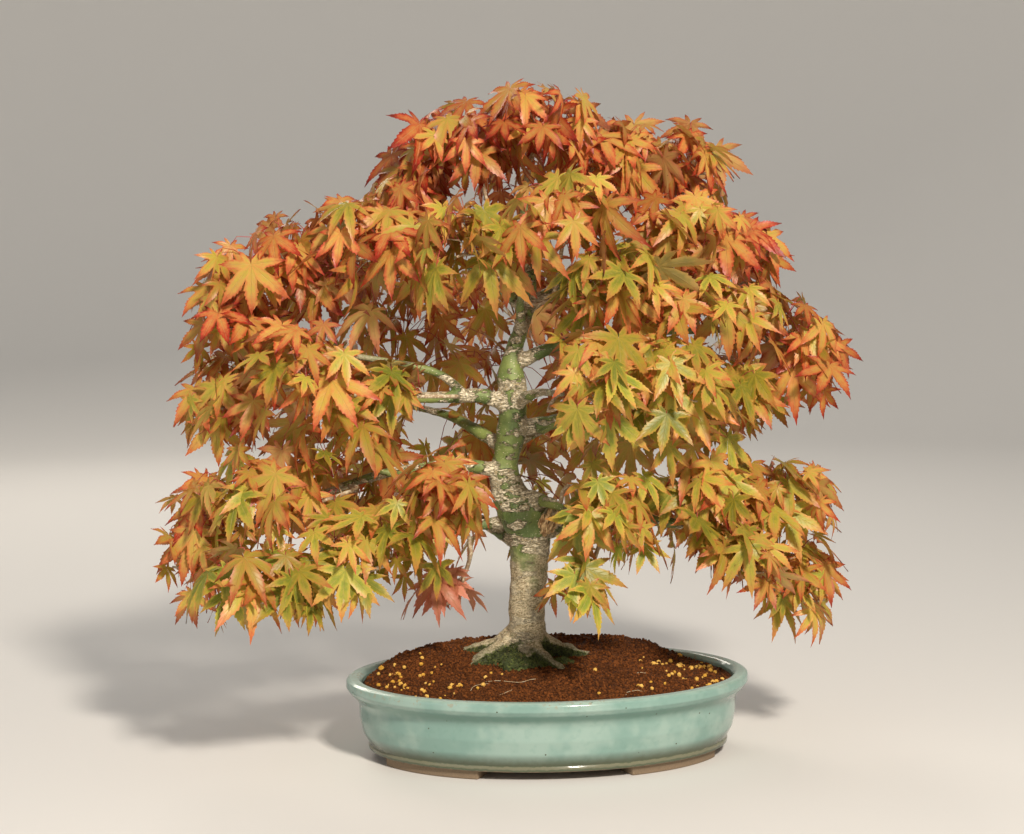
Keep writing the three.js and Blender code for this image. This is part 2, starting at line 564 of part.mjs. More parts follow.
function leafPlace(spray, leaf, spine) {
  const { middle, half } = SPRAYS[spray];
  const level = 1 - CLOUD_DEPTH * ((0.5 + leaf * SPREAD_ONE) % 1);
  const turn = 2 * Math.PI * ((0.5 + leaf * SPREAD_TWO) % 1) + spray;
  const breadth = Math.sqrt(1 - level * level);
  const depth = THREE.MathUtils.lerp(...LEAF_DEPTH, draw(spray, leaf, 0));
  const heart = middle.clone().add(vec(
    half.x * depth * breadth * Math.cos(turn),
    half.y * depth * breadth * Math.sin(turn),
    half.z * (depth * level + LEAF_LIFT),
  ));
  const stalkEnd = stalkRoot(spine.points, heart, STALK_NUDGE * (draw(spray, leaf, 5) - 0.5));
  const away = heart.clone().sub(stalkEnd).setZ(0);
  away.normalize().addScaledVector(spine.outward, OUTWARD_PULL).normalize();
  away.applyAxisAngle(UP, rad(LEAF_TURN * (draw(spray, leaf, 1) - 0.5)));
  const droop = rad(THREE.MathUtils.lerp(...LEAF_DROOP, draw(spray, leaf, 2)) + LOW_DROOP * (1 - level));
  const axis = away.clone().multiplyScalar(Math.cos(droop)).addScaledVector(UP, -Math.sin(droop));
  const normal = away.clone().multiplyScalar(Math.sin(droop)).addScaledVector(UP, Math.cos(droop));
  normal.applyAxisAngle(axis, rad(LEAF_ROLL * (draw(spray, leaf, 3) - 0.5)));
  const length = LOBE_LENGTH * THREE.MathUtils.lerp(...LEAF_SIZE, draw(spray, leaf, 4));
  return { heart, axis, normal, length, stalkEnd };
}

function boxOf(body) {
  const { min, max } = body.boundingBox();
  return new THREE.Box3(vec(...min), vec(...max));
}

function crosses(body, box, others) {
  return others.some((other) => other.box.intersectsBox(box)
    && !body.intersect(other.body).isEmpty());
}

// Leaves of one spray may meet only where their stalks join its twig

function crossesOwn(body, box, others, joint) {
  return others.some((other) => {
    if (!other.box.intersectsBox(box)) return false;
    const common = body.intersect(other.body);
    if (common.isEmpty()) return false;
    const { min, max } = boxOf(common);
    return Math.max(min.distanceTo(joint), max.distanceTo(joint)) > JOINT_REACH;
  });
}

function makeSprays(wood) {
  const spines = SPRAYS.map((spray) => makeSpine(spray, wood));
  const fixed = [wood, ...spines.map((spine) => spine.body)].map((body) => ({ body, box: boxOf(body) }));
  const sprays = spines.map((spine) => spine.body);
  const placed = SPRAYS.map(() => []);
  for (let leaf = 0; leaf < LEAF_TRIES; leaf++) {
    SPRAYS.forEach(({ count }, spray) => {
      if (placed[spray].length >= count) return;
      const place = leafPlace(spray, leaf, spines[spray]);
      const wide = makeLeaf(place, CLEARANCE);
      const box = boxOf(wide);
      const others = fixed.filter((_, i) => i !== spray + 1);
      const elsewhere = placed.flatMap((list, i) => (i === spray ? [] : list));
      if (crosses(wide, box, others) || crosses(wide, box, elsewhere)) return;
      if (crossesOwn(wide, box, placed[spray], place.stalkEnd)) return;
      const body = makeLeaf(place);
      const joined = sprays[spray].add(body);
      if (!isSound(joined)) return;
      sprays[spray] = joined;
      placed[spray].push({ body, box: boxOf(body) });
    });
  }
  return sprays;
}

// Assembly

const group = new THREE.Group();

function addNode(name, geometry, color, roughness) {
  const material = new THREE.MeshStandardMaterial({ color, roughness, metalness: 0 });
  const mesh = new THREE.Mesh(geometry, material);
  mesh.name = name;
  group.add(mesh);
  return mesh;
}

const LEAF_COLOURS = { orange: '#c8652a', amber: '#cf8434', gold: '#c9a443', rose: '#c9634a' };

const wood = makeWood();
const rootBall = makeFootWood(CLEARANCE);
addNode('pot', toGeometry(makePot()), '#9dc4ae', 0.2);
addNode('drainage_screen_left', makeScreen(), '#2b2b2a', 0.6).position.x = -DRAIN_OFFSET;
addNode('drainage_screen_right', makeScreen(), '#2b2b2a', 0.6).position.x = DRAIN_OFFSET;
addNode('soil', toGeometry(makeSoil(rootBall)), '#5a3018', 0.95);
addNode('trunk', toGeometry(wood), '#9a8a68', 0.85);
makeSprays(wood).forEach((body, i) => {
  const { name, tint } = SPRAYS[i];
  addNode(`spray_${name}`, toGeometry(body), LEAF_COLOURS[tint], 0.6);
});

const extent = new THREE.Box3().setFromObject(group);
const centre = extent.getCenter(vec(0, 0, 0));
group.position.set(-centre.x, -centre.y, -extent.min.z);

export default group;
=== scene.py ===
"""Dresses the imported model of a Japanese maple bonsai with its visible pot, soil, wood and leaves.

Places are given in millimetres from the middle of the pot's underside, with X along the pot and -Y to
the viewer. The function `at` turns them into the frame's metres.
"""

import math
import random
from collections import namedtuple

import bmesh
import bpy
from bpy.props import FloatProperty, FloatVectorProperty, IntProperty, PointerProperty
from mathutils import Matrix, Vector, noise
from mathutils.geometry import interpolate_bezier
from mathutils.kdtree import KDTree


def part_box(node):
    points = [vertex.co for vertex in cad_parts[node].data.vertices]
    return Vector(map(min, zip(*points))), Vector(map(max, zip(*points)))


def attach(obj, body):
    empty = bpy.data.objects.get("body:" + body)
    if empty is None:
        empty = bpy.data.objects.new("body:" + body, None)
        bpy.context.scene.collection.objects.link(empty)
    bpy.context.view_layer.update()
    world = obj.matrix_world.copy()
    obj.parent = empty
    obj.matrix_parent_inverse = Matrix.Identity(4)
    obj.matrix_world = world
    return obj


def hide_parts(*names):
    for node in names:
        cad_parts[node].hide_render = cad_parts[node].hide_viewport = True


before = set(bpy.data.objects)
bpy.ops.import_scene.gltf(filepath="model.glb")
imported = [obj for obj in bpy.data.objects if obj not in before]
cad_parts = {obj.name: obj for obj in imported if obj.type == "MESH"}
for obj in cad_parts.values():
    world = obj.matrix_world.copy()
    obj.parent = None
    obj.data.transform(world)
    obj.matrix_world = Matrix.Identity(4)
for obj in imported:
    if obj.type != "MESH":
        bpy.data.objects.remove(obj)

bl_info = {
    "name": "Maple bonsai",
    "version": (1, 0, 0),
    "blender": (4, 5, 0),
    "location": "3D View > Sidebar > Bonsai",
    "description": "Makes the visible pot, soil, wood and leaves of a Japanese maple bonsai",
    "category": "Object",
}

MM = 0.001
UP = Vector((0, 0, 1))
TURN = 2 * math.pi

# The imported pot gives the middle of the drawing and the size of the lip
POT_LOW, POT_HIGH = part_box("pot")
MIDDLE = Vector(((POT_LOW.x + POT_HIGH.x) / 2, (POT_LOW.y + POT_HIGH.y) / 2, 0))
HALF_LENGTH = (POT_HIGH.x - POT_LOW.x) / 2 / MM
HALF_WIDTH = (POT_HIGH.y - POT_LOW.y) / 2 / MM
RIM_HEIGHT = POT_HIGH.z / MM

# An oval within the lip's keeps at least this share of its length as its width
INNER_NARROWNESS = 0.7

# Pot: distances in from the lip's edge, heights, and where the feet stand, in degrees round it
FOOT_HEIGHT = 9
FLOOR_TOP = 20
FLOOR_INSET = 36
NECK_INSET = 16.5
NECK_HEIGHT = 64
NECK_LENGTH = HALF_LENGTH - NECK_INSET
NECK_WIDTH = HALF_WIDTH - NECK_INSET
FOOT_INSET = 28
FOOT_DEPTH = 20
FOOT_SPANS = ((202, 245), (295, 338), (22, 65), (115, 158))
FOOT_EASING = 1.6
DRAIN_RADIUS = 12
DRAIN_OFFSET = 78

# Faces that look down more steeply than this share of a straight drop are the flat undersides
FLAT_DOWN = -0.999

# Outer and inner wall, from the middle of the underside round the lip to the middle of the floor:
# inset, height and radius of each corner
POT_WALL = (
    (21.5, FOOT_HEIGHT, 1.5), (21.3, 13.2, 1.7), (22.4, 14.8, 1.1), (16, 26, 14), (13.2, 40, 22),
    (12.8, 57, 14), (3.4, 66, 5), (0, 71, 3), (0.8, 77.3, 2.4), (4.5, RIM_HEIGHT, 3),
    (12.5, RIM_HEIGHT, 4), (16, 75, 3), (NECK_INSET, NECK_HEIGHT, 3), (20.5, 57, 6), (22.5, 30, 12),
    (FLOOR_INSET, FLOOR_TOP, 8),
)

# Soil against the inner wall: distance in from the lip's edge, and height, of its two bends
SOIL_WALL = ((23, 31), (21, 57))

# Soil surface: height at the lip, and of the mound round the trunk's foot
SOIL_EDGE = 72
MOUND_HEIGHT = 21
MOUND_POINT = 1.3
FOOT_X = -22
FOOT_Y = 10
CLEARANCE = 0.35

# Bank of soil behind the trunk: its height and the way it lies from the pot's middle, in degrees
BANK_HEIGHT = 19
BANK_ANGLE = 110
BANK_POINT = 2.4

# Where round the pot the bank begins, as the cosine of the angle from its middle, and how softly
BANK_FROM = -0.1
BANK_FADE = 0.6

# Wood: x, y, z and radius along the trunk and each root, healed stump and branch
TRUNK = (
    (-22, 10, 46, 20), (-22, 10, 78, 27), (-22, 9, 94, 24.5), (-20, 6, 112, 19.5), (-19, 2, 144, 17.9),
    (-16, 0, 189, 18.9), (-16, -2, 218, 20.6), (-23, -2, 238, 22.5), (-34, 0, 256, 17.5),
    (-39, 3, 276, 14.6), (-37, 4, 294, 12.4), (-32.5, 2, 314, 14), (-30, 0, 336, 13.2),
    (-28.5, -2, 354, 12.6), (-30.5, -2, 370, 13.4), (-31, 0, 384, 11), (-27, 4, 402, 8.2),
    (-15, 6, 437, 6.9), (-10.5, 4, 470, 5.6), (-15, 2, 510, 4.6), (-15, 0, 550, 3.6), (-8, -2, 586, 2.6),
)
LEADER_ROW = 16
ROOTS = (
    ((-28, 13, 118, 12), (-46, 21, 102, 10.5), (-68, 26, 97, 8), (-94, 30, 91, 4.5)),
    ((-27, 8, 116, 12), (-44, 3, 101, 10.5), (-61, -2, 94, 9), (-80, -10, 83, 6)),
    ((-22, 4, 116, 12), (-21, -11, 99, 10.5), (-28, -27, 89, 8), (-37, -46, 78, 4)),
    ((-17, 6, 116, 11), (-10, -10, 99, 8.8), (2, -19, 91, 6.8), (14, -33, 82, 5.6), (19, -38, 74, 3)),
    ((-14, 11, 114, 12), (9, 14, 99, 9.4), (34, 25, 90, 7), (64, 35, 78, 4)),
    ((-16, 15, 114, 11), (-1, 36, 98, 9), (15, 54, 89, 7), (31, 78, 77, 4)),
    ((-25, 17, 114, 11), (-32, 43, 98, 9), (-38, 65, 89, 7), (-46, 86, 77, 4)),
)
STUMPS = (
    ((-16, 0, 236, 19), (6, -5, 234, 11)),
    ((-20, 0, 242, 20), (-44, -8, 240, 9)),
    ((-30, 0, 349, 13), (-46, -4, 352, 8)),
)
BRANCHES = {
    "left_main": ((-33, 0, 346, 8), (-60, -4, 356, 7), (-89, -8, 356, 6), (-143, -14, 357, 4.8),
                  (-200, -16, 368, 3.4)),
    "left_fork": ((-76, -6, 357, 5), (-104, -12, 380, 4.2), (-155, -18, 393, 3.6), (-216, -14, 404, 2.8)),
    "left_low": ((-42, 2, 279, 8), (-81, -6, 288, 6), (-160, -14, 282, 4.6), (-225, -22, 262, 3.2)),
    "left_lowest": ((-28, 4, 230, 7), (-80, 2, 226, 4.8), (-130, -6, 215, 4), (-188, -26, 206, 2.8)),
    "left_high": ((-15, 5, 438, 6), (-60, -4, 478, 4.4), (-120, -12, 500, 3.6), (-186, -16, 496, 2.6)),
    "right_low": ((-8, 0, 240, 9), (60, -4, 236, 6.4), (129, -8, 226, 4.8), (200, -4, 210, 3.2)),
    "right_mid": ((-26, 0, 322, 8), (40, -26, 338, 5.2), (96, -44, 344, 4), (142, -38, 342, 2.8)),
    "right_upper": ((-28, 0, 386, 7), (10, 4, 402, 6), (59, 10, 414, 5), (140, 4, 416, 4),
                    (200, 6, 414, 3.2), (236, 8, 400, 2.6)),
    "right_high": ((-14, 5, 440, 6), (38, 6, 478, 4.4), (90, 4, 506, 3.6), (128, 8, 538, 2.6)),
    "front_high": ((-20, 3, 420, 6), (-22, -30, 450, 3.8), (-20, -64, 482, 2.6)),
    "front_mid": ((-26, -4, 350, 7), (-6, -50, 362, 4), (14, -96, 364, 2.6)),
    "front_low": ((-14, -2, 254, 8), (12, -44, 250, 4.2), (32, -72, 236, 2.6)),
    "back_high": ((-16, 6, 428, 6), (-12, 52, 460, 4), (0, 90, 506, 2.6)),
    "back_mid": ((-29, 4, 330, 8), (-26, 66, 368, 4.6), (-20, 132, 404, 2.8)),
    "back_left": ((-36, 6, 302, 8), (-90, 62, 330, 4.6), (-148, 106, 342, 2.8)),
    "back_right": ((-32, 6, 310, 8), (40, 62, 330, 4.6), (118, 104, 336, 2.8)),
    "back_low": ((-26, 6, 244, 9), (-32, 72, 262, 4.6), (-32, 138, 262, 2.8)),
    "back_low_left": ((-20, 6, 206, 9), (-78, 56, 232, 4.4), (-124, 92, 232, 2.8)),
    "back_low_right": ((-14, 4, 212, 9), (46, 58, 226, 4.4), (88, 94, 224, 2.8)),
}

# Sprays: name, middle and half sizes of the cloud of leaves, how leafy it is, the branch and the
# place on it where its twig starts, and its tint
SPRAYS = (
    ("apex_left", (-67, 0, 607), (60, 70, 44), 6, "leader", 3.5, "orange"),
    ("apex_centre", (5, -15, 624), (58, 70, 42), 6, "leader", 5, "orange"),
    ("apex_right", (75, 10, 584), (51, 65, 43), 5, "leader", 4, "orange"),
    ("shoulder_left", (-128, 20, 568), (41, 60, 39), 5, "left_high", 1, "orange"),
    ("shoulder_right", (152, 20, 578), (54, 60, 43), 5, "right_high", 3, "orange"),
    ("upper_left_inner", (-164, -40, 505), (69, 65, 54), 6, "left_high", 2, "amber"),
    ("upper_left", (-254, -10, 495), (70, 70, 48), 6, "left_high", 3, "orange"),
    ("upper_left_tip", (-308, 0, 443), (45, 60, 54), 5, "left_fork", 3, "orange"),
    ("mid_left_tip", (-314, 0, 357), (45, 55, 45), 5, "left_main", 4, "amber"),
    ("mid_left", (-234, -70, 382), (59, 55, 53), 5, "left_main", 3.4, "amber"),
    ("mid_left_inner", (-140, -44, 366), (36, 35, 30), 3, "left_main", 2, "gold"),
    ("low_left_tip", (-346, 0, 211), (43, 60, 71), 6, "left_low", 3, "orange"),
    ("low_left_top", (-269, -50, 256), (71, 65, 48), 6, "left_low", 2.5, "amber"),
    ("low_left_front", (-264, -99, 185), (70, 50, 42), 5, "left_lowest", 3, "gold"),
    ("low_left_inner", (-170, -80, 208), (69, 55, 50), 5, "left_lowest", 2, "gold"),
    ("low_left_near", (-104, -100, 268), (45, 45, 36), 4, "left_low", 1, "orange"),
    ("low_inner", (-94, -20, 160), (41, 40, 26), 3, "left_lowest", 1, "rose"),
    ("front_left", (-71, -95, 506), (58, 55, 43), 5, "front_high", 2, "gold"),
    ("front_centre", (18, -100, 526), (58, 55, 43), 5, "front_high", 1, "amber"),
    ("front_right", (62, -90, 463), (53, 50, 38), 5, "right_upper", 2, "gold"),
    ("upper_right", (145, -30, 509), (58, 60, 44), 5, "right_high", 2, "amber"),
    ("upper_right_tip", (215, 30, 493), (36, 50, 34), 4, "right_upper", 3, "orange"),
    ("mid_right_upper", (139, -60, 443), (64, 55, 36), 5, "right_upper", 2.6, "gold"),
    ("mid_front", (31, -140, 374), (54, 50, 54), 5, "front_mid", 1.8, "gold"),
    ("mid_right", (117, -100, 368), (53, 50, 49), 5, "right_mid", 2, "gold"),
    ("mid_right_outer", (187, -20, 346), (43, 50, 41), 5, "right_mid", 3, "gold"),
    ("far_right", (223, 0, 423), (46, 55, 41), 4, "right_upper", 4, "orange"),
    ("far_right_tip", (276, 10, 386), (40, 55, 58), 5, "right_upper", 5, "orange"),
    ("low_right_inner", (54, -100, 239), (56, 50, 53), 5, "front_low", 1, "gold"),
    ("low_front", (26, -110, 173), (36, 40, 36), 4, "front_low", 2, "gold"),
    ("low_right", (164, -40, 241), (51, 55, 51), 5, "right_low", 2, "amber"),
    ("low_right_outer", (244, 0, 248), (58, 60, 42), 5, "right_low", 3, "amber"),
    ("low_right_tip", (255, 0, 158), (46, 55, 52), 5, "right_low", 2.6, "orange"),
    ("low_right_front", (185, -82, 198), (41, 45, 37), 4, "right_low", 2.3, "amber"),
    ("back_top", (20, 112, 556), (82, 62, 52), 5, "back_high", 2, "orange"),
    ("back_upper_left", (-166, 112, 480), (82, 62, 52), 5, "left_high", 1.5, "orange"),
    ("back_upper_right", (150, 116, 474), (80, 62, 50), 5, "right_high", 1.5, "orange"),
    ("back_mid", (-16, 196, 430), (84, 58, 54), 5, "back_mid", 2, "orange"),
    ("back_mid_left", (-212, 134, 352), (76, 62, 54), 6, "back_left", 2, "amber"),
    ("back_mid_right", (180, 132, 342), (78, 62, 54), 6, "back_right", 2, "amber"),
    ("back_low_left", (-186, 118, 226), (82, 64, 50), 6, "back_low_left", 2, "amber"),
    ("back_low", (-34, 194, 268), (84, 58, 50), 4, "back_low", 2, "gold"),
    ("back_low_right", (142, 118, 214), (82, 62, 48), 6, "back_low_right", 2, "amber"),
)


def at(point):
    """A place on the drawing, in millimetres, as a point of the frame, in metres."""
    return MIDDLE + Vector(point[:3]) * MM


def linear(code):
    """The linear colour of an sRGB hex code such as #9dc4ae."""
    shares = [int(code[i:i + 2], 16) / 255 for i in (1, 3, 5)]
    return tuple(s / 12.92 if s <= 0.04045 else ((s + 0.055) / 1.055) ** 2.4 for s in shares)


def colour(name, description, code):
    """A colour that the user can change, with its default as a hex code."""
    return FloatVectorProperty(name=name, description=description, subtype="COLOR", size=3,
                               min=0, max=1, default=linear(code))


def blend(a, b, share):
    return a + (b - a) * share


def clamp(value, low=0, high=1):
    return min(max(value, low), high)


# What a user would change

class PotSettings(bpy.types.PropertyGroup):
    """Glaze, clay and fineness of the pot."""

    facets: IntProperty(name="Facets", description="Faces round the pot", default=160, min=32)
    glaze: colour("Glaze", "Celadon glaze where it lies evenly", "#7d9c92")
    glaze_pale: colour("Pale glaze", "Glaze where it lies thick and milky", "#95ada3")
    # Besides pooled glaze, this colour paints the shade under the lip
    glaze_deep: colour("Pooled glaze", "Glaze gathered under the lip", "#5e877a")
    glaze_thin: colour("Thin glaze", "Olive glaze at the foot line", "#4e523c")
    glaze_edge: colour("Edge glaze", "Creamy glaze on the foot line's edge", "#77755f")
    clay: colour("Clay", "Bare stoneware of the feet", "#8f7b63")


class SoilSettings(bpy.types.PropertyGroup):
    """Grains of the soil and what lies on it."""

    grains: IntProperty(name="Grains", description="Loose grains on the surface", default=6500, min=0)
    pellets: IntProperty(name="Pellets", description="Grains of slow fertiliser", default=120, min=0)
    grain_size: FloatProperty(name="Grain size", description="Radius of a loose grain, in metres",
                              default=0.00105, min=0.0003, subtype="DISTANCE", unit="LENGTH")
    dark: colour("Dark soil", "Fired clay grains in shade and damp", "#43250f")
    light: colour("Light soil", "Fired clay grains where they are dry", "#7c4822")
    pellet: colour("Pellet", "Fertiliser grain", "#cf9c3c")


class WoodSettings(bpy.types.PropertyGroup):
    """Fineness and colours of the bark."""

    cell: FloatProperty(name="Cell", description="Size of the wood's mesh faces, in metres",
                        default=0.0017, min=0.001, subtype="DISTANCE", unit="LENGTH")
    tufts: IntProperty(name="Tufts", description="Most tufts of moss on the foot of the wood",
                       default=9000, min=0)
    green: colour("Green bark", "Smooth young bark", "#87944f")
    green_dark: colour("Dark bark", "Smooth bark in the hollows", "#596c37")
    cork: colour("Cork", "Cream cork over old wounds", "#f1e5c6")
    old: colour("Old bark", "Grey-brown bark of the lower trunk", "#e9dab5")
    old_dark: colour("Old bark, dark", "Pits of the old bark", "#988763")
    moss: colour("Moss", "Moss at the trunk's foot", "#2e371b")
    moss_tip: colour("Moss tips", "Tips of the moss", "#6f7a3a")


class LeafSettings(bpy.types.PropertyGroup):
    """How many leaves there are, how long, and their autumn colours."""

    fullness: FloatProperty(name="Fullness", description="Leaves for each one of the packed model",
                            default=7, min=1)
    length: FloatProperty(name="Length", description="Length of the middle lobe, in metres",
                          default=0.043, min=0.02, subtype="DISTANCE", unit="LENGTH")
    green: colour("Green", "Leaf that hasn't turned", "#95a23a")
    lime: colour("Lime", "Leaf that begins to turn", "#cabd4a")
    gold: colour("Gold", "Golden leaf", "#dfae57")
    orange: colour("Orange", "Orange leaf", "#db8049")
    red: colour("Red", "Tip and margin of an orange leaf", "#bd3f27")
    rose: colour("Rose", "Salmon leaf", "#efa088")
    stalk: colour("Stalk", "Leaf stalk", "#a5323c")
    twig: colour("Twig", "Bark of a young twig", "#a3896b")


class StageSettings(bpy.types.PropertyGroup):
    """Floor and light."""

    floor: colour("Floor", "Pale matt floor", "#d9d7d3")
    sky: colour("Room light", "Soft light from all round", "#e9eef5")
    sky_strength: FloatProperty(name="Room light strength", description="Strength of the room light",
                                default=0.29, min=0)
    key_power: FloatProperty(name="Key light", description="Power of the main lamp, in watts",
                             default=136, min=0, subtype="POWER", unit="POWER")
    fill_power: FloatProperty(name="Fill light", description="Power of the lamp on the left, in watts",
                              default=9, min=0, subtype="POWER", unit="POWER")
    back_power: FloatProperty(name="Back light", description="Power of the lamp behind, in watts",
                              default=34, min=0, subtype="POWER", unit="POWER")


# Materials

MIX_A, MIX_B, MIX_RESULT = 6, 7, 2


def add(tree, kind, inputs=None, out=0, stops=None, **settings):
    """Adds a node with its settings, links or sets its inputs, and gives the socket that it puts out."""
    made = tree.nodes.new("ShaderNode" + kind)
    for name, value in settings.items():
        setattr(made, name, value)
    for key, value in (inputs or {}).items():
        if isinstance(value, bpy.types.NodeSocket):
            tree.links.new(value, made.inputs[key])
        else:
            made.inputs[key].default_value = value
    for k, (place, shade) in enumerate(stops or ()):
        element = made.color_ramp.elements[k] if k < 2 else made.color_ramp.elements.new(place)
        element.position = place
        element.color = shade
    return made.outputs[out] if made.outputs else None


def rgba(shade):
    """An opaque colour, from a hex code or from its three linear shares."""
    return (*(linear(shade) if isinstance(shade, str) else shade), 1)


def mixed(tree, share, a, b, blend_type="MIX"):
    """The colour between a and b at a share, each a socket or a colour."""
    a, b = (x if isinstance(x, bpy.types.NodeSocket) else rgba(x) for x in (a, b))
    return add(tree, "Mix", {0: share, MIX_A: a, MIX_B: b}, out=MIX_RESULT,
               data_type="RGBA", blend_type=blend_type)


def ramp(tree, value, low, high, to_low=0.0, to_high=1.0):
    """A value mapped smoothly from low..high to to_low..to_high and held at both ends."""
    return add(tree, "MapRange", {"Value": value, "From Min": low, "From Max": high,
                                  "To Min": to_low, "To Max": to_high}, interpolation_type="SMOOTHSTEP")


def sums(tree, operation, a, b=0.0):
    return add(tree, "Math", {0: a, 1: b}, operation=operation)


def times(tree, a, b):
    return sums(tree, "MULTIPLY", a, b)


def swing(tree, value, reach):
    """A value from 0 to 1 moved to swing about 0, by half of reach either way."""
    return times(tree, sums(tree, "SUBTRACT", value, 0.5), reach)


def place_on(tree):
    """Where a spot of the surface lies in its object, in metres."""
    return add(tree, "TexCoord", out="Object")


def named(tree, name):
    """A number that the mesh carries under a name."""
    return add(tree, "Attribute", out="Fac", attribute_name=name)


def grain(tree, place, size_mm, detail=4, roughness=0.55, distortion=0.0):
    """Noise whose lumps are about size_mm across."""
    return add(tree, "TexNoise", {"Vector": place, "Scale": 1 / (size_mm * MM), "Detail": detail,
                                  "Roughness": roughness, "Distortion": distortion})


def bumped(tree, height, depth_mm, below=None):
    """Normals of a relief whose highest points stand depth_mm above its lowest."""
    inputs = {"Height": height, "Distance": depth_mm * MM, "Strength": 1}
    if below is not None:
        inputs["Normal"] = below
    return add(tree, "Bump", inputs)


def coat(tree, shade, roughness, relief=None, **more):
    """A surface of a colour and a roughness, with the normals of its relief and more inputs by name."""
    inputs = {"Base Color": shade, "Roughness": roughness, **more}
    if relief is not None:
        inputs["Normal"] = relief
    return add(tree, "BsdfPrincipled", inputs)


# Dry and dusty surfaces throw back less light than smooth ones
DUSTY = {"Specular IOR Level": 0.15}


def material(name, paint, *details):
    """A new material whose surface is what paint makes of its node tree."""
    made = bpy.data.materials.new(name)
    made.use_nodes = True
    made.node_tree.nodes.clear()
    surface = paint(made.node_tree, *details)
    add(made.node_tree, "OutputMaterial", {"Surface": surface})
    return made


def paint_glaze(tree, s):
    """Celadon glaze on thrown stoneware: glassy and milky, deeper where it pools, thin at the foot, with
    painted shade under the lip and a painted highlight along its top.
    """
    place = place_on(tree)
    height = add(tree, "SeparateXYZ", {"Vector": place}, out="Z")
    cloud = grain(tree, place, 46, 3)
    mottle = grain(tree, place, 7, 5)
    level = sums(tree, "ADD", height, swing(tree, mottle, 3.5 * MM))
    milky = mixed(tree, ramp(tree, cloud, 0.38, 0.64), s.glaze, s.glaze_pale)
    milky = mixed(tree, ramp(tree, mottle, 0.48, 0.8, 0, 0.25), milky, s.glaze_deep)
    # Painted shade: a darker band under the lip's overhang, in the pooled glaze's colour
    painted_lip_shade = times(tree, ramp(tree, level, 56 * MM, 63 * MM), ramp(tree, level, 68.5 * MM, 65.5 * MM))
    milky = mixed(tree, times(tree, painted_lip_shade, 0.75), milky, s.glaze_deep)
    milky = mixed(tree, times(tree, ramp(tree, level, 29 * MM, 15 * MM), 0.95), milky, s.glaze_thin)
    edge = times(tree, ramp(tree, level, 14.8 * MM, 14.1 * MM), ramp(tree, level, 11.2 * MM, 12.2 * MM))
    milky = mixed(tree, times(tree, edge, 0.8), milky, s.glaze_edge)
    # Painted highlight: the top of the lip is paler
    milky = mixed(tree, ramp(tree, level, 76.5 * MM, 79.5 * MM, 0, 0.45), milky, "#b4ccc0")
    # The lip is rubbed through to the body here and there
    worn = times(tree, ramp(tree, grain(tree, place, 4, 4), 0.55, 0.61), ramp(tree, level, 72 * MM, 76 * MM))
    worn = times(tree, worn, ramp(tree, cloud, 0.46, 0.58, 0, 0.7))
    milky = mixed(tree, worn, milky, "#98917a")
    # Pinholes half a millimetre wide, where gas broke through the glaze
    cells = {"Vector": place, "Scale": 1 / (13 * MM)}
    holes = add(tree, "TexVoronoi", cells, out="Distance")
    chosen = sums(tree, "GREATER_THAN", add(tree, "TexVoronoi", cells, out="Color"), 0.52)
    pin = times(tree, ramp(tree, holes, 0.075, 0.04), chosen)
    milky = mixed(tree, pin, milky, "#4b4a38")
    bare = ramp(tree, level, 9.9 * MM, 9.3 * MM)
    # The floor and its drainage holes are bare too
    long, wide = HALF_LENGTH * MM, HALF_WIDTH * MM
    oval = add(tree, "Mapping", {"Vector": place, "Scale": (1 / long, 1 / wide, 0),
                                 "Location": (-MIDDLE.x / long, -MIDDLE.y / wide, 0)})
    share = add(tree, "VectorMath", {0: oval}, out="Value", operation="LENGTH")
    inside = times(tree, sums(tree, "LESS_THAN", share, 0.8), sums(tree, "LESS_THAN", height, 30 * MM))
    bare = sums(tree, "MAXIMUM", bare, inside)
    clay = mixed(tree, grain(tree, place, 2.2, 6), s.clay, "#75634e")
    clay = mixed(tree, ramp(tree, grain(tree, place, 0.9, 2), 0.62, 0.7, 0, 0.7), clay, "#4e3b2b")
    shade = mixed(tree, bare, milky, clay)
    gloss = sums(tree, "ADD", ramp(tree, bare, 0, 1, 0.11, 0.88), times(tree, mottle, 0.05))
    waves = bumped(tree, grain(tree, place, 24, 2), 0.35)
    relief = bumped(tree, sums(tree, "SUBTRACT", times(tree, mottle, 0.12), pin), 0.22, waves)
    return coat(tree, shade, gloss, relief, IOR=1.52)


def paint_soil(tree, s):
    """Fired clay soil, sieved to 1 to 2 mm: dry, matt, red-brown grains with painted shade in the gaps
    between them.
    """
    place = place_on(tree)
    cells = {"Vector": place, "Scale": 1 / (1.7 * MM)}
    near = add(tree, "TexVoronoi", cells, out="Distance")
    tint = add(tree, "TexVoronoi", cells, out="Color")
    tint = add(tree, "SeparateColor", {"Color": tint}, out="Red")
    damp = grain(tree, place, 30, 3)
    shade = mixed(tree, tint, s.dark, s.light)
    shade = mixed(tree, ramp(tree, damp, 0.42, 0.62, 0, 0.45), shade, s.dark)
    # Painted shade in the gaps between the grains
    shade = mixed(tree, ramp(tree, near, 0.45, 0.75, 0, 0.75), shade, "#200e07")
    fine = grain(tree, place, 0.5, 3)
    relief = sums(tree, "ADD", sums(tree, "SUBTRACT", 1.0, near), times(tree, fine, 0.4))
    return coat(tree, shade, 0.95, bumped(tree, relief, 0.9), **DUSTY)


def paint_grain(tree, dark, light):
    """Loose grains: each has its own tone, with a dusty, pitted face."""
    place = place_on(tree)
    tone = named(tree, "tone")
    dust = grain(tree, place, 0.8, 3)
    shade = mixed(tree, tone, dark, light)
    shade = mixed(tree, ramp(tree, dust, 0.5, 0.75, 0, 0.4), shade, light)
    return coat(tree, shade, 0.93, bumped(tree, dust, 0.3), **DUSTY)


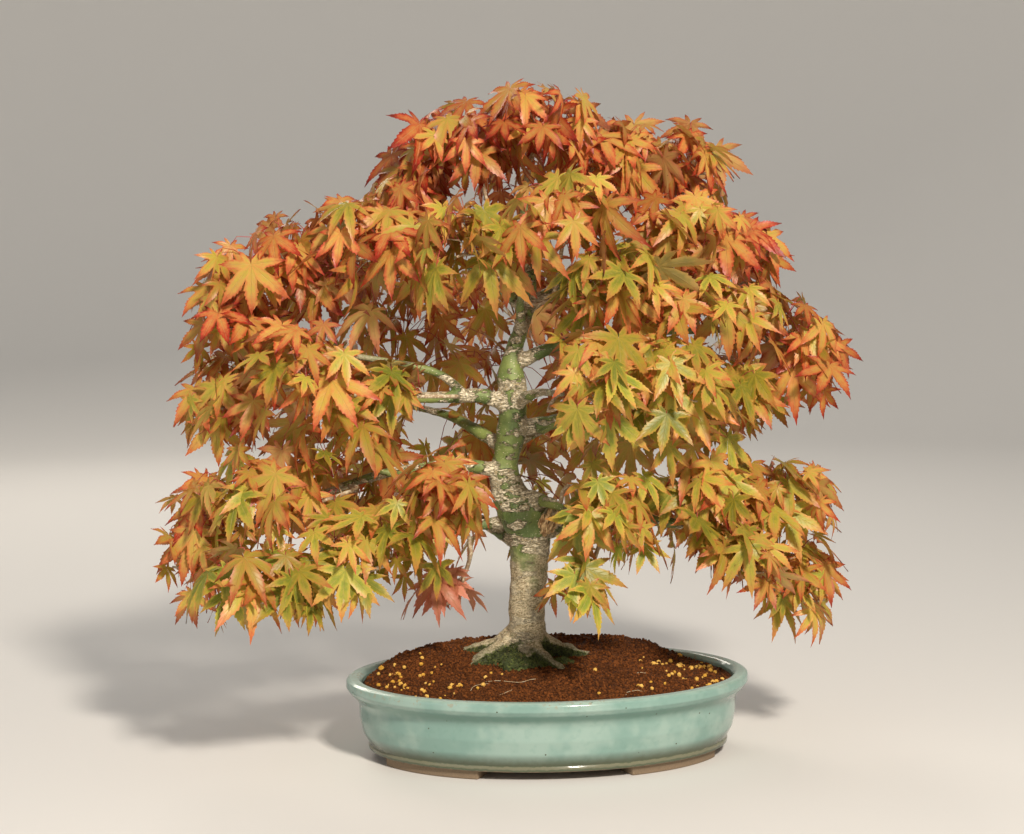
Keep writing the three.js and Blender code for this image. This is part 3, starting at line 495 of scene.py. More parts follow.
def paint_bark(tree, s):
    """Maple bark: smooth and green when young, crossed by cream cork, grey-brown and pitted below, with
    painted shade in its creases and pits.
    """
    place = place_on(tree)
    height = add(tree, "SeparateXYZ", {"Vector": place}, out="Z")
    girth = named(tree, "girth")
    # Cork wraps round the stem in bands, so its patterns are squeezed along Z
    banded = add(tree, "Mapping", {"Vector": place, "Scale": (1, 1, 3)})
    wrinkles = grain(tree, banded, 5, 4, 0.6, 1.2)
    fine = grain(tree, place, 1.9, 5, 0.65)
    pits = grain(tree, place, 0.85, 3, 0.6)
    wander = grain(tree, place, 34, 4)
    ragged = swing(tree, grain(tree, banded, 3, 4), 0.9)
    corked = ramp(tree, sums(tree, "ADD", named(tree, "corked"), ragged), 0.46, 0.58)

    green = mixed(tree, ramp(tree, wander, 0.36, 0.66), s.green, s.green_dark)
    green = mixed(tree, ramp(tree, fine, 0.5, 0.7, 0, 0.35), green, "#a9a878")
    lenticels = add(tree, "Mapping", {"Vector": place, "Scale": (1, 1, 2)})
    flecks = add(tree, "TexVoronoi", {"Vector": lenticels, "Scale": 1 / (4.4 * MM)}, out="Distance")
    green = mixed(tree, ramp(tree, flecks, 0.2, 0.1, 0, 0.75), green, s.cork)
    crease = ramp(tree, sums(tree, "ABSOLUTE", sums(tree, "SUBTRACT", wrinkles, 0.5)), 0.06, 0.0)
    cork = mixed(tree, ramp(tree, wrinkles, 0.46, 0.66), s.cork, "#b7a376")
    # The cork's creases and pits are darker: its own dark fissures, with painted shade in them
    cork = mixed(tree, times(tree, crease, 0.75), cork, "#7d6c46")
    cork = mixed(tree, ramp(tree, pits, 0.6, 0.72, 0, 0.5), cork, "#6b5a3e")
    young = mixed(tree, corked, green, cork)

    pitted = ramp(tree, times(tree, sums(tree, "ADD", fine, wrinkles), 0.5), 0.44, 0.6)
    old = mixed(tree, pitted, s.old, s.old_dark)
    old = mixed(tree, times(tree, corked, 0.55), old, s.cork)
    # The old bark's creases and pits are darker too: its own dark fissures, with painted shade in them
    old = mixed(tree, times(tree, crease, 0.35), old, s.old_dark)
    old = mixed(tree, ramp(tree, pits, 0.55, 0.66, 0, 0.7), old, "#57492f")
    old = mixed(tree, ramp(tree, wander, 0.58, 0.68, 0, 0.4), old, s.green_dark)
    # Grey roots, the sandy lower trunk and the green upper trunk meet along wandering lines
    wavy = swing(tree, wander, 90 * MM)
    rooty = ramp(tree, sums(tree, "ADD", height, times(tree, wavy, 0.3)), 116 * MM, 96 * MM, 0, 0.8)
    grey = mixed(tree, ramp(tree, fine, 0.42, 0.6), "#9b967b", "#646448")
    old = mixed(tree, rooty, old, grey)
    age = ramp(tree, sums(tree, "ADD", height, wavy), 206 * MM, 182 * MM)
    shade = mixed(tree, age, young, old)
    twig = mixed(tree, ramp(tree, fine, 0.4, 0.6), "#9c9272", "#cfc4a4")
    shade = mixed(tree, ramp(tree, girth, 0.16, 0.1), shade, twig)
    # Moss keeps to the sheltered foot of the trunk and the lower sides of the roots
    mossy = sums(tree, "ADD", named(tree, "sheltered"), swing(tree, grain(tree, place, 12, 4), 1))
    mossy = ramp(tree, sums(tree, "ADD", mossy, swing(tree, fine, 0.7)), 0.24, 0.5)
    moss = mixed(tree, ramp(tree, fine, 0.46, 0.64), s.moss, s.moss_tip)
    shade = mixed(tree, times(tree, mossy, 0.92), shade, moss)

    rough = ramp(tree, corked, 0, 1, 0.5, 0.85)
    rough = sums(tree, "MAXIMUM", rough, times(tree, age, 0.86))
    raised = times(tree, corked, sums(tree, "SUBTRACT", 1.3, sums(tree, "ADD", pits, crease)))
    relief = bumped(tree, times(tree, wrinkles, sums(tree, "MAXIMUM", corked, age)), 2.2)
    relief = bumped(tree, raised, 0.8, relief)
    crust = sums(tree, "ADD", times(tree, fine, age), times(tree, pits, 0.35))
    relief = bumped(tree, crust, 0.9, relief)
    return coat(tree, shade, rough, relief)


def paint_torn(tree):
    """Torn dead wood: brown and fibrous, bleached along its edges."""
    place = place_on(tree)
    fibres = add(tree, "Mapping", {"Vector": place, "Scale": (1, 1, 0.22)})
    fibre = grain(tree, fibres, 1.3, 4)
    shade = mixed(tree, ramp(tree, fibre, 0.38, 0.64), "#8a6540", "#f0d09c")
    return coat(tree, shade, 0.85, bumped(tree, fibre, 0.5))


def paint_leaf(tree, s, body):
    """Autumn maple leaf: satin and thin enough to glow, turning from the margins and tips inwards."""
    place = place_on(tree)
    chart = add(tree, "UVMap", out="UV", uv_map="lobe")
    along = add(tree, "SeparateXYZ", {"Vector": chart}, out="X")
    across = add(tree, "SeparateXYZ", {"Vector": chart}, out="Y")
    across = sums(tree, "ABSOLUTE", swing(tree, across, 2))
    turned = named(tree, "turned")
    tone = named(tree, "tone")
    blotch = grain(tree, place, 9, 4)
    margin = times(tree, ramp(tree, across, 0.35, 1.0), ramp(tree, along, 0.1, 0.6, 0.25, 1))
    tip = ramp(tree, along, 0.42, 1.0)
    reach = sums(tree, "MAXIMUM", times(tree, margin, 0.32), times(tree, tip, 0.46))
    state = sums(tree, "ADD", turned, reach)
    state = sums(tree, "ADD", state, swing(tree, blotch, 0.42))
    state = sums(tree, "ADD", state, swing(tree, grain(tree, place, 2.4, 3), 0.22))
    shade = add(tree, "ValToRGB", {"Fac": state}, out="Color", stops=[
        (0.0, rgba(s.green)), (1.0, rgba("#8a2119")), (0.2, rgba(s.lime)), (0.4, rgba(s.gold)),
        (0.62, rgba(s.orange)), (0.84, rgba(s.red))])
    shade = mixed(tree, body, shade, s.rose)
    # Side veins leave the midrib at a slant, seven to a lobe
    slant = sums(tree, "SUBTRACT", along, times(tree, across, 0.2))
    vein = sums(tree, "PINGPONG", times(tree, slant, 7), 0.5)
    vein = times(tree, ramp(tree, vein, 0.09, 0.0), ramp(tree, across, 0.95, 0.6))
    rib = ramp(tree, across, 0.1, 0.03)
    veined = sums(tree, "MAXIMUM", rib, times(tree, vein, 0.45))
    pale = mixed(tree, 0.5, shade, "#efd489")
    shade = mixed(tree, times(tree, veined, 0.55), shade, pale)
    dull = mixed(tree, 1.0, shade, "#cfc4b4", blend_type="MULTIPLY")
    shade = mixed(tree, tone, dull, shade)
    behind = add(tree, "NewGeometry", out="Backfacing")
    matt = mixed(tree, 0.3, shade, "#d8b48a")
    front = mixed(tree, behind, shade, matt)
    quilt = sums(tree, "SUBTRACT", times(tree, blotch, 0.5), veined)
    skin = coat(tree, front, 0.4, bumped(tree, quilt, 0.35), IOR=1.45)
    glow = add(tree, "BsdfTranslucent", {"Color": shade})
    return add(tree, "MixShader", {0: 0.34, 1: skin, 2: glow})


def paint_stalk(tree, shade):
    """Leaf stalk: smooth, waxy and crimson."""
    place = place_on(tree)
    light = mixed(tree, ramp(tree, grain(tree, place, 12, 2), 0.4, 0.7), shade, "#c9704a")
    return coat(tree, light, 0.42)


def paint_twig(tree, shade):
    """Young twig: thin red-brown bark with grey skin flaking off it."""
    place = place_on(tree)
    fine = grain(tree, place, 3.2, 4)
    grey = mixed(tree, ramp(tree, fine, 0.45, 0.62), shade, "#cfc3a6")
    return coat(tree, grey, 0.7, bumped(tree, fine, 0.25))


def paint_moss(tree, s):
    """Moss: soft dark cushions with paler tips."""
    place = place_on(tree)
    tone = named(tree, "tone")
    clump = ramp(tree, grain(tree, place, 4, 5, 0.7), 0.46, 0.62)
    shade = mixed(tree, sums(tree, "MAXIMUM", times(tree, clump, 0.7), tone), s.moss, s.moss_tip)
    dry = ramp(tree, grain(tree, place, 6, 5, 0.7), 0.56, 0.66, 0, 0.7)
    shade = mixed(tree, dry, shade, "#7a6f4a")
    return coat(tree, shade, 0.9, bumped(tree, grain(tree, place, 1.6, 3), 1.2))


def paint_plastic(tree):
    """Moulded black polythene mesh: slightly rough and greasy."""
    place = place_on(tree)
    fine = grain(tree, place, 1.5, 3)
    shade = mixed(tree, fine, "#242423", "#363634")
    return coat(tree, shade, 0.52, bumped(tree, fine, 0.08))


def paint_floor(tree, shade):
    """Matt painted floor, plain and pale."""
    return coat(tree, rgba(shade), 0.92)


# Shapes

def mesh_of(name, bm):
    """A mesh made of a bmesh, which is freed."""
    mesh = bpy.data.meshes.new(name)
    bm.to_mesh(mesh)
    bm.free()
    return mesh


def shaped(item):
    """A new mesh of an object as its modifiers leave it."""
    bpy.context.view_layer.update()
    return bpy.data.meshes.new_from_object(item.evaluated_get(bpy.context.evaluated_depsgraph_get()))


def placed(name, data):
    """A new object of the scene, made of a mesh, a lamp or a camera."""
    item = bpy.data.objects.new(name, data)
    bpy.context.scene.collection.objects.link(item)
    return item


def once(items):
    """The items without repeats and in their own order, so that each run numbers its faces alike."""
    return list(dict.fromkeys(items))


def smooth(bm):
    for face in bm.faces:
        face.smooth = True


def plant(bm, shape, stand, **values):
    """Adds a copy of a mesh to a bmesh, placed by a matrix, with a value for each of its attributes."""
    copy = shape.copy()
    copy.transform(stand)
    for name, value in values.items():
        layer = copy.attributes.new(name, "FLOAT", "POINT")
        layer.data.foreach_set("value", [value] * len(copy.vertices))
    bm.from_mesh(copy)
    bpy.data.meshes.remove(copy)


def finish_piece(name, mesh, materials, nodes=()):
    """Turns a mesh into a piece that rides on the part and stands for some of its nodes."""
    for made in materials:
        mesh.materials.append(made)
    piece = placed(name, mesh)
    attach(piece, "root")
    if nodes:
        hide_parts(*nodes)


def rounded(corners, steps=6):
    """An outline through corners of (across, height, radius), each rounded by an arc of its radius."""
    points = []
    for before, here, after in zip(corners, corners[1:], corners[2:]):
        corner = Vector(here[:2])
        back = Vector(before[:2]) - corner
        on = Vector(after[:2]) - corner
        half = back.angle(on) / 2
        reach = min(here[2] / math.tan(half), 0.48 * min(back.length, on.length))
        start = corner + back.normalized() * reach
        end = corner + on.normalized() * reach
        radius = reach * math.tan(half)
        centre = corner + (back.normalized() + on.normalized()).normalized() * (radius / math.sin(half))
        first = math.atan2(start.y - centre.y, start.x - centre.x)
        sweep_angle = math.remainder(math.atan2(end.y - centre.y, end.x - centre.x) - first, TURN)
        for i in range(steps + 1):
            turn = first + sweep_angle * i / steps
            points.append(centre + radius * Vector((math.cos(turn), math.sin(turn))))
    return [Vector(corners[0][:2]), *points, Vector(corners[-1][:2])]


def spun(profile, facets, near):
    """A shape turned from an outline of (across, height), whose points nearer than near are merged."""
    bm = bmesh.new()
    verts = [bm.verts.new((across, 0, height)) for across, height in profile]
    edges = [bm.edges.new(pair) for pair in zip(verts, verts[1:])]
    bmesh.ops.spin(bm, geom=verts + edges, cent=(0, 0, 0), axis=(0, 0, 1), angle=TURN, steps=facets,
                   use_merge=True)
    bmesh.ops.remove_doubles(bm, verts=bm.verts, dist=near)
    bmesh.ops.recalc_face_normals(bm, faces=bm.faces)
    smooth(bm)
    return bm


def squeezed(bm):
    """A round shape squeezed to the pot's oval."""
    for vert in bm.verts:
        radius = math.hypot(vert.co.x, vert.co.y)
        if radius > 0:
            narrow = max(radius - (HALF_LENGTH - HALF_WIDTH), radius * INNER_NARROWNESS)
            vert.co.y *= narrow / radius
    return bm


def to_frame(bm):
    """Moves a bmesh drawn in millimetres to its place in the frame."""
    for vert in bm.verts:
        vert.co = at(vert.co)


def add_foot(bm, first, last):
    """One of the pot's feet: a curved block under the wall, its edges eased."""
    steps = 14
    # The block runs a little way into the wall and the floor
    sunk = 2
    angles = [math.radians(blend(first, last, i / steps)) for i in range(steps + 1)]
    rows = [[Vector(((HALF_LENGTH - inset) * math.cos(a), (HALF_WIDTH - inset) * math.sin(a), 0))
             for a in angles] for inset in (FOOT_INSET - sunk, FOOT_INSET + FOOT_DEPTH + sunk)]
    outline = [bm.verts.new(point) for point in rows[0] + rows[1][::-1]]
    base = bm.faces.new(outline)
    raised = bmesh.ops.extrude_face_region(bm, geom=[base])["geom"]
    top = [item for item in raised if isinstance(item, bmesh.types.BMVert)]
    bmesh.ops.translate(bm, verts=top, vec=(0, 0, FOOT_HEIGHT + 3))
    block = outline + top
    faces = once(face for vert in block for face in vert.link_faces)
    bmesh.ops.recalc_face_normals(bm, faces=faces)
    sharp = [edge for edge in once(edge for face in faces for edge in face.edges)
             if edge.calc_face_angle(0) > math.radians(40)]
    bmesh.ops.bevel(bm, geom=sharp, offset=FOOT_EASING, segments=3, profile=0.5, affect="EDGES",
                    material=-1)


def drilled(bm, holes, radius, depth):
    """A mesh of the bmesh with round holes bored up through it, each at an (x, y) place."""
    blank = placed("drilled", mesh_of("drilled", bm))
    drills = bmesh.new()
    for x, y in holes:
        bmesh.ops.create_cone(drills, cap_ends=True, segments=40, radius1=radius, radius2=radius,
                              depth=depth, matrix=Matrix.Translation((x, y, 0)))
    to_frame(drills)
    drill = placed("drill", mesh_of("drill", drills))
    cut = blank.modifiers.new("Holes", "BOOLEAN")
    cut.operation = "DIFFERENCE"
    cut.solver = "EXACT"
    cut.use_self = True
    cut.object = drill
    result = shaped(blank)
    for item in (blank, drill):
        bpy.data.objects.remove(item)
    # The flat undersides stay flat, where long thin faces would shade in streaks
    for face in result.polygons:
        face.use_smooth = face.normal.z > FLAT_DOWN
    return result


def mound_height(x, y):
    """Height over the lip's soil of an even mound, whose top is in the middle of the pot."""
    share = math.hypot(x, y * NECK_LENGTH / NECK_WIDTH) / NECK_LENGTH
    return MOUND_HEIGHT * math.cos(min(share, 1) * math.pi / 2) ** MOUND_POINT


def soil_height(x, y):
    """Height of the plain soil surface, whose mound leans to the trunk's foot."""
    lift = mound_height(x, y)
    for _ in range(2):
        slide = lift / MOUND_HEIGHT
        lift = mound_height(x - FOOT_X * slide, y - FOOT_Y * slide)
    return SOIL_EDGE + lift + bank_height(x, y)


def bank_height(x, y):
    """How far the bank behind the trunk stands above the mound."""
    across = x / NECK_LENGTH
    deep = y / NECK_WIDTH
    share = math.hypot(across, deep)
    if not 0 < share < 1:
        return 0
    way = math.radians(BANK_ANGLE)
    side = clamp(((across * math.cos(way) + deep * math.sin(way)) / share - BANK_FROM) / BANK_FADE)
    return BANK_HEIGHT * side * side * (3 - 2 * side) * math.sin(math.pi * share ** BANK_POINT)


def lumps(x, y):
    """How far clods and grains stand out of the plain soil surface, in millimetres."""
    broad = noise.noise(Vector((x, y, 3)) / 23)
    clod = noise.noise(Vector((x, y, 7)) / 8)
    fine = noise.noise(Vector((x, y, 1)) / 3)
    rougher = 1 + bank_height(x, y) / BANK_HEIGHT
    return (1.5 * broad + clod) * rougher + 0.55 * fine


def through(rows, step):
    """A smooth route through rows of x, y, z and radius, with a point about every step."""
    rows = [Vector(row) for row in rows]
    ends = [2 * rows[0] - rows[1], *rows, 2 * rows[-1] - rows[-2]]
    points = []
    for a, b, c, d in zip(ends, ends[1:], ends[2:], ends[3:]):
        count = max(1, round((c.xyz - b.xyz).length / step))
        for i in range(count):
            t = i / count
            points.append(0.5 * (2 * b + (c - a) * t + (2 * a - 5 * b + 4 * c - d) * t ** 2
                                 + (3 * b - a - 3 * c + d) * t ** 3))
    return [*points, rows[-1]]


def sweep(bm, route, sides, material_index=0):
    """A tapered stem along a route of x, y, z and radius: a ring extruded from point to point."""
    ring = bmesh.ops.create_circle(bm, cap_ends=True, segments=sides, radius=1)["verts"]
    side = Vector((1, 0, 0))
    faces = list(ring[0].link_faces)
    for k, point in enumerate(route):
        ahead = route[min(k + 1, len(route) - 1)].xyz - route[max(k - 1, 0)].xyz
        ahead.normalize()
        if k == 0 and abs(ahead.x) > 0.9:
            side = UP.copy()
        if k > 0:
            edges = [ring[i - 1].link_edges[:] for i in range(sides)]
            edges = [next(e for e in near if e.other_vert(ring[i - 1]) == ring[i])
                     for i, near in enumerate(edges)]
            grown = bmesh.ops.extrude_edge_only(bm, edges=edges)["geom"]
            fresh = {v for v in grown if isinstance(v, bmesh.types.BMVert)}
            faces += [f for f in grown if isinstance(f, bmesh.types.BMFace)]
            ring = [next(e.other_vert(v) for e in v.link_edges if e.other_vert(v) in fresh) for v in ring]
        side = (side - ahead * side.dot(ahead)).normalized()
        other = ahead.cross(side)
        for i, vert in enumerate(ring):
            turn = TURN * i / sides
            vert.co = point.xyz + point.w * (side * math.cos(turn) + other * math.sin(turn))
    faces.append(bm.faces.new(ring))
    bmesh.ops.recalc_face_normals(bm, faces=faces)
    for face in faces:
        face.smooth = True
        face.material_index = material_index


# Leaves

LOBE_TURNS = (-92, -43, 0, 43, 92)
LOBE_SHARES = (0.62, 0.92, 1, 0.92, 0.62)
NOTCH_TURNS = (-116, -66, -21, 21, 66, 116)
NOTCH_SHARES = (0.17, 0.26, 0.3, 0.3, 0.26, 0.17)
EAR_TURN = 138
EAR_SHARE = 0.33
EAR_HEEL = (166, 0.09)
# Along a lobe: share of its length, and half width as a share of the length
LOBE_STATIONS = ((0, 0), (0.29, 0.1), (0.45, 0.128), (0.61, 0.112), (0.78, 0.06), (1, 0))
EAR_STATIONS = ((0, 0), (0.4, 0.14), (0.7, 0.13), (1, 0))
# Teeth between two stations: how far on each corner lies, and how far out, as shares
TEETH = {0.25: (0.38, 0.03), 0.5: (0.48, -0.004), 0.75: (0.9, 0.027)}
# The last share of a lobe, over which its teeth shrink
TIP_SHARE = 0.3
# Kinds of leaves, and how steeply their lobes fold up beside the midrib and droop towards the tip
LEAF_KINDS = 10
LEAF_FOLD = (0.1, 0.36)
LEAF_DROOP = (0.06, 0.46)
# Where the side lobes' tips lie, ahead and aside, as shares of the middle lobe's length
SIDE_TIP = (0.68, 0.64)


def polar(turn, reach):
    return Vector((reach * math.cos(math.radians(turn)), reach * math.sin(math.radians(turn)), 0))


def add_lobe(bm, chart, turn, length, notches, stations, bend):
    """One lobe: a grid drawn out to a pointed outline with saw teeth, folded at its midrib."""
    spans = len(stations) - 1
    older = len(bm.verts)
    grid = bmesh.ops.create_grid(bm, x_segments=spans, y_segments=2, size=1)["verts"]
    # The grid runs from -1 to 1. Its margins get teeth from the third station on
    toothed = 4.1 / spans - 1
    margin = [edge for edge in once(edge for vert in grid for edge in vert.link_edges)
              if abs(edge.verts[0].co.y + edge.verts[1].co.y) > 1.9 and
              max(vert.co.x for vert in edge.verts) > toothed]
    bmesh.ops.subdivide_edges(bm, edges=margin, cuts=3)
    verts = list(bm.verts)[older:]
    fold, droop, wave, phase = bend
    for vert in verts:
        station = (vert.co.x + 1) / 2 * spans
        low = min(int(station + 1e-4), spans - 1)
        step = station - low
        on, out = next((TEETH[key] for key in TEETH if abs(step - key) < 0.01), (step, 0))
        share, half = (blend(a, b, on) for a, b in zip(stations[low], stations[low + 1]))
        side = vert.co.y
        along = share * length
        width = (half + out * min((1 - share) / TIP_SHARE, 1)) * length * side
        flat = Matrix.Rotation(math.radians(turn), 3, "Z") @ Vector((along, width, 0))
        if low == 1 and step < 0.01 and abs(side) > 0.5:
            flat = polar(*notches[0 if side < 0 else 1])
        lift = fold * abs(width) - droop * length * share ** 2
        lift += wave * abs(side) * math.sin(phase + 7 * share) * share
        for loop in vert.link_loops:
            loop[chart].uv = (share, 0.5 + 0.5 * side)
        vert.co = flat + Vector((0, 0, lift))


def model_leaf(dice):
    """One palmate leaf, with its middle lobe one unit long, at the point where its stalk joins it."""
    bm = bmesh.new()
    chart = bm.loops.layers.uv.new("lobe")
    fold = dice.uniform(*LEAF_FOLD)
    droop = dice.uniform(*LEAF_DROOP)
    turns = [turn + dice.uniform(-4, 4) for turn in LOBE_TURNS]
    shares = [share * dice.uniform(0.93, 1.06) for share in LOBE_SHARES]
    notches = [(turn, share * dice.uniform(0.92, 1.08)) for turn, share in zip(NOTCH_TURNS, NOTCH_SHARES)]
    for k, (turn, share) in enumerate(zip(turns, shares)):
        bend = (fold, droop * dice.uniform(0.6, 1.5), 0.02, dice.uniform(0, TURN))
        add_lobe(bm, chart, turn, share, notches[k:k + 2], LOBE_STATIONS, bend)
    bend = (fold, droop * 0.6, 0.01, 0)
    add_lobe(bm, chart, -EAR_TURN, EAR_SHARE, ((-EAR_HEEL[0], EAR_HEEL[1]), notches[0]), EAR_STATIONS, bend)
    add_lobe(bm, chart, EAR_TURN, EAR_SHARE, (notches[-1], EAR_HEEL), EAR_STATIONS, bend)
    bmesh.ops.remove_doubles(bm, verts=bm.verts, dist=1e-4)
    smooth(bm)
    return mesh_of("leaf", bm)


# More leaves between the sprays, on longer side twigs: the spray that they belong to, middle and half
# sizes of their cloud, and their number
BETWEEN = (
    ("mid_left", (-262, -30, 318), (72, 46, 34), 12),
    ("low_left_top", (-196, -50, 316), (62, 46, 32), 10),
    ("upper_left_inner", (-200, 10, 448), (86, 60, 34), 14),
    ("upper_left", (-276, 20, 440), (60, 50, 34), 8),
    ("back_mid_left", (-110, 76, 400), (84, 46, 76), 26),
    ("back_mid", (-20, 120, 350), (90, 60, 60), 20),
    ("back_mid_right", (90, 70, 330), (90, 56, 56), 22),
    ("back_low", (-30, 124, 216), (110, 56, 46), 16),
    ("mid_right", (110, -40, 316), (80, 46, 28), 10),
    ("back_low_left", (-140, 70, 300), (80, 50, 50), 14),
)

# How leaves spread over their cloud: the steps of the even spread, how far down the cloud they go,
# how deep in it they sit, how far they are lifted, and their ranges of turn, droop and roll
SPREAD_LEVEL = 0.7548776662
SPREAD_TURN = 0.569840291
Habit = namedtuple("Habit", "levels depth lift turn droop roll")
PACKED = Habit(1.4, (0.5, 0.7), 0.3, 40, (24, 58), 50)
FILLING = Habit(1.9, (0.45, 1.0), 0.14, 130, (10, 70), 84)

# Ranges of the leaves' size, how much more the lowest leaves droop, and how far leaves turn outwards
LEAF_SIZE = (0.88, 1.12)
FILLING_SIZE = (0.54, 1.26)
LOW_DROOP = 14
OUTWARD_PULL = 0.5

# How far a stalk's foot moves along its twig, the share of the twig that it keeps to, and its taper
STALK_NUDGE = 16
STALK_ZONE = (0.06, 0.94)
STALK_RADII = (0.55, 0.38)

# Leaves of the near and side sprays look towards the light, which comes from the front and right
LIGHT_PULL = Vector((0.16, -0.55, 0))

# How far each tint has turned, from green at 0 to dark red at 1
TURNED = {"gold": 0.16, "amber": 0.26, "orange": 0.35, "rose": 0.4}
TURNED_SPREAD = 0.36

# The crown's top has turned further than its middle height, by this much a step of height
TURNED_ABOVE = 0.1
CROWN_MIDDLE = 330
CROWN_STEP = 300

# Sprays that have turned less than their tint has, and by how much
PALER = {"low_left_near": 0.09}

# Sprays that are thinner than the rest, and their fullness
THINNER = {"low_front": 3.5, "low_inner": 4}

# Places tried for each leaf that is wanted, and leaves to each thin twig
TRIES = 2.5
LEAVES_PER_TWIG = 4

# Materials of a spray after the leaf's own, in their order
STALK_LAYER = 1
TWIG_LAYER = 2

# Main twig of a spray: its thickness as a share of its branch's, its taper and bend, how low its
# middle and end lie in the cloud of leaves, and how far out
TWIG_STEP = 12
SIDE_TWIG = 0.6
TWIG_THICKEST = 2.4
TWIG_TAPER = (1, 0.9, 0.8)
TWIG_TIP = 1.0
BEND_SHARE = 0.35
BEND_FARTHEST = 30
HEART_LOWER = 0.2
END_OUTER = 0.5
END_LOWER = 0.05

WORD = 2 ** 32


def draw(spray, leaf, channel):
    """The same repeatable draw between 0 and 1 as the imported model's."""
    n = ((spray + 1) * 73856093 % WORD) ^ ((leaf + 1) * 19349663 % WORD) ^ ((channel + 1) * 83492791 % WORD)
    n = (n ^ (n >> 15)) * 0x2c1b3c6d % WORD
    n = (n ^ (n >> 12)) * 0x297a2d39 % WORD
    return (n ^ (n >> 15)) / WORD


def twig_route(middle, half, branch, place):
    """Main twig of a spray, from its branch through the heart of its cloud, and the way outwards."""
    rows = [Vector(row) for row in BRANCHES.get(branch, TRUNK[LEADER_ROW:])]
    k = min(int(place), len(rows) - 2)
    root = rows[k].lerp(rows[k + 1], place - k)
    ahead = (rows[k + 1].xyz - rows[k].xyz).normalized()
    outward = Vector((middle.x - FOOT_X, middle.y, 0)).normalized()
    heart = middle - HEART_LOWER * half.z * UP
    end = heart + Vector((outward.x * half.x, outward.y * half.y, 0)) * END_OUTER - END_LOWER * half.z * UP
    thick = root.w
    heading = ahead
    if place != len(rows) - 1:
        heading = heart - root.xyz
        heading = (heading - ahead * heading.dot(ahead)).normalized()
        thick = root.w * SIDE_TWIG
    straight = min(BEND_SHARE * (heart - root.xyz).length, BEND_FARTHEST)
    bend = root.xyz + heading * straight
    foot = min(thick, TWIG_THICKEST)
    radii = [foot * share for share in TWIG_TAPER] + [TWIG_TIP]
    points = [root.xyz, bend, heart, end]
    return [point.to_4d() for point in points], radii, outward


def nearest_on(points, target, nudge=0.0, zone=(0.0, 1.0)):
    """The spot on a row of points nearest to a target, moved along it by a nudge."""
    best = None
    for a, b in zip(points, points[1:]):
        line = b.xyz - a.xyz
        share = (target - a.xyz).dot(line) / line.length_squared
        share = clamp(clamp(share) + nudge / line.length, *zone)
        spot = a.xyz + line * share
        if best is None or (spot - target).length < (best - target).length:
            best = spot
    return best


def leaf_place(spray, leaf, middle, half, points, outward, pull, habit):
    """Where a leaf of a spray sits on its cloud, and how it hangs."""
    level = 1 - habit.levels * ((0.5 + leaf * SPREAD_LEVEL) % 1)
    turn = TURN * ((0.5 + leaf * SPREAD_TURN) % 1) + spray
    breadth = math.sqrt(1 - level * level)
    depth = blend(*habit.depth, draw(spray, leaf, 0))
    heart = middle + Vector((half.x * depth * breadth * math.cos(turn),
                             half.y * depth * breadth * math.sin(turn),
                             half.z * (depth * level + habit.lift)))
    root = nearest_on(points[1:], heart, STALK_NUDGE * (draw(spray, leaf, 5) - 0.5), STALK_ZONE)
    away = (heart - root) * Vector((1, 1, 0))
    away = (away.normalized() + outward * OUTWARD_PULL).normalized() + pull
    away.rotate(Matrix.Rotation(math.radians(habit.turn * (draw(spray, leaf, 1) - 0.5)), 3, "Z"))
    away.normalize()
    droop = math.radians(blend(*habit.droop, draw(spray, leaf, 2)) + LOW_DROOP * (1 - level))
    axis = away * math.cos(droop) - UP * math.sin(droop)
    normal = away * math.sin(droop) + UP * math.cos(droop)
    normal.rotate(Matrix.Rotation(math.radians(habit.roll * (draw(spray, leaf, 3) - 0.5)), 3, axis))
    return heart, axis, normal, blend(*LEAF_SIZE, draw(spray, leaf, 4))


# Camera: where it stands on the drawing, its angles, lens and sensor
CAMERA_PLACE = (-126.5, -2294.4, 544.9)
CAMERA_TURN = math.radians(2.389)
CAMERA_PITCH = math.radians(5.24)
CAMERA_ROLL = math.radians(-0.95)
LENS = 82.4
SENSOR = 36

# Outline of the crown from the front: its left and right reach at each height, and its lowest
# leaf tips from left to right
CROWN_LEFT = ((100, -360), (140, -368), (170, -376), (200, -390), (240, -370), (262, -384), (290, -372),
              (308, -348), (328, -365), (363, -358), (407, -355), (460, -350), (494, -338), (514, -298),
              (537, -250), (560, -204), (574, -142), (590, -158), (618, -150), (634, -106), (658, -12))
CROWN_RIGHT = ((100, 290), (144, 308), (224, 310), (280, 300), (290, 214), (300, 180), (311, 216),
               (325, 285), (345, 310), (379, 318), (419, 297), (444, 256), (460, 224), (479, 246),
               (517, 242), (528, 200), (544, 176), (558, 212), (587, 198), (617, 150), (626, 100),
               (648, 28), (658, 4))
CROWN_LOW = ((-380, 108), (-308, 140), (-279, 118), (-214, 124), (-125, 142), (-66, 140), (43, 108),
             (103, 148), (154, 176), (193, 156), (243, 100), (283, 102), (310, 150))
CROWN_TOP = 661
CROWN_FRONT = -196
CROWN_BACK = 272
# How far past that outline an added leaf may reach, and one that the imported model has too
CROWN_SLACK = 4
PACKED_SLACK = 11
# Openings in the crown from the front, which show the branches and the trunk: left, low, right, high
OPENINGS = ((-112, 296, -50, 400), (-46, 290, 2, 392), (-30, 200, 2, 290), (-46, 90, -16, 200))
# Leaves behind this depth may show through them
OPENING_DEPTH = 30


def between(rows, value):
    """The second number of rows at a value of their first, on straight lines between them."""
    for (low, at_low), (high, at_high) in zip(rows, rows[1:]):
        if value <= high:
            return blend(at_low, at_high, max(value - low, 0) / (high - low))
    return rows[-1][1]


def from_front(point):
    """A point's across and height as they look from the camera's place, against the trunk's plane."""
    eye = Vector(CAMERA_PLACE)
    seen = eye + (point - eye) * (eye.y / (eye.y - point.y))
    return seen.x, seen.z


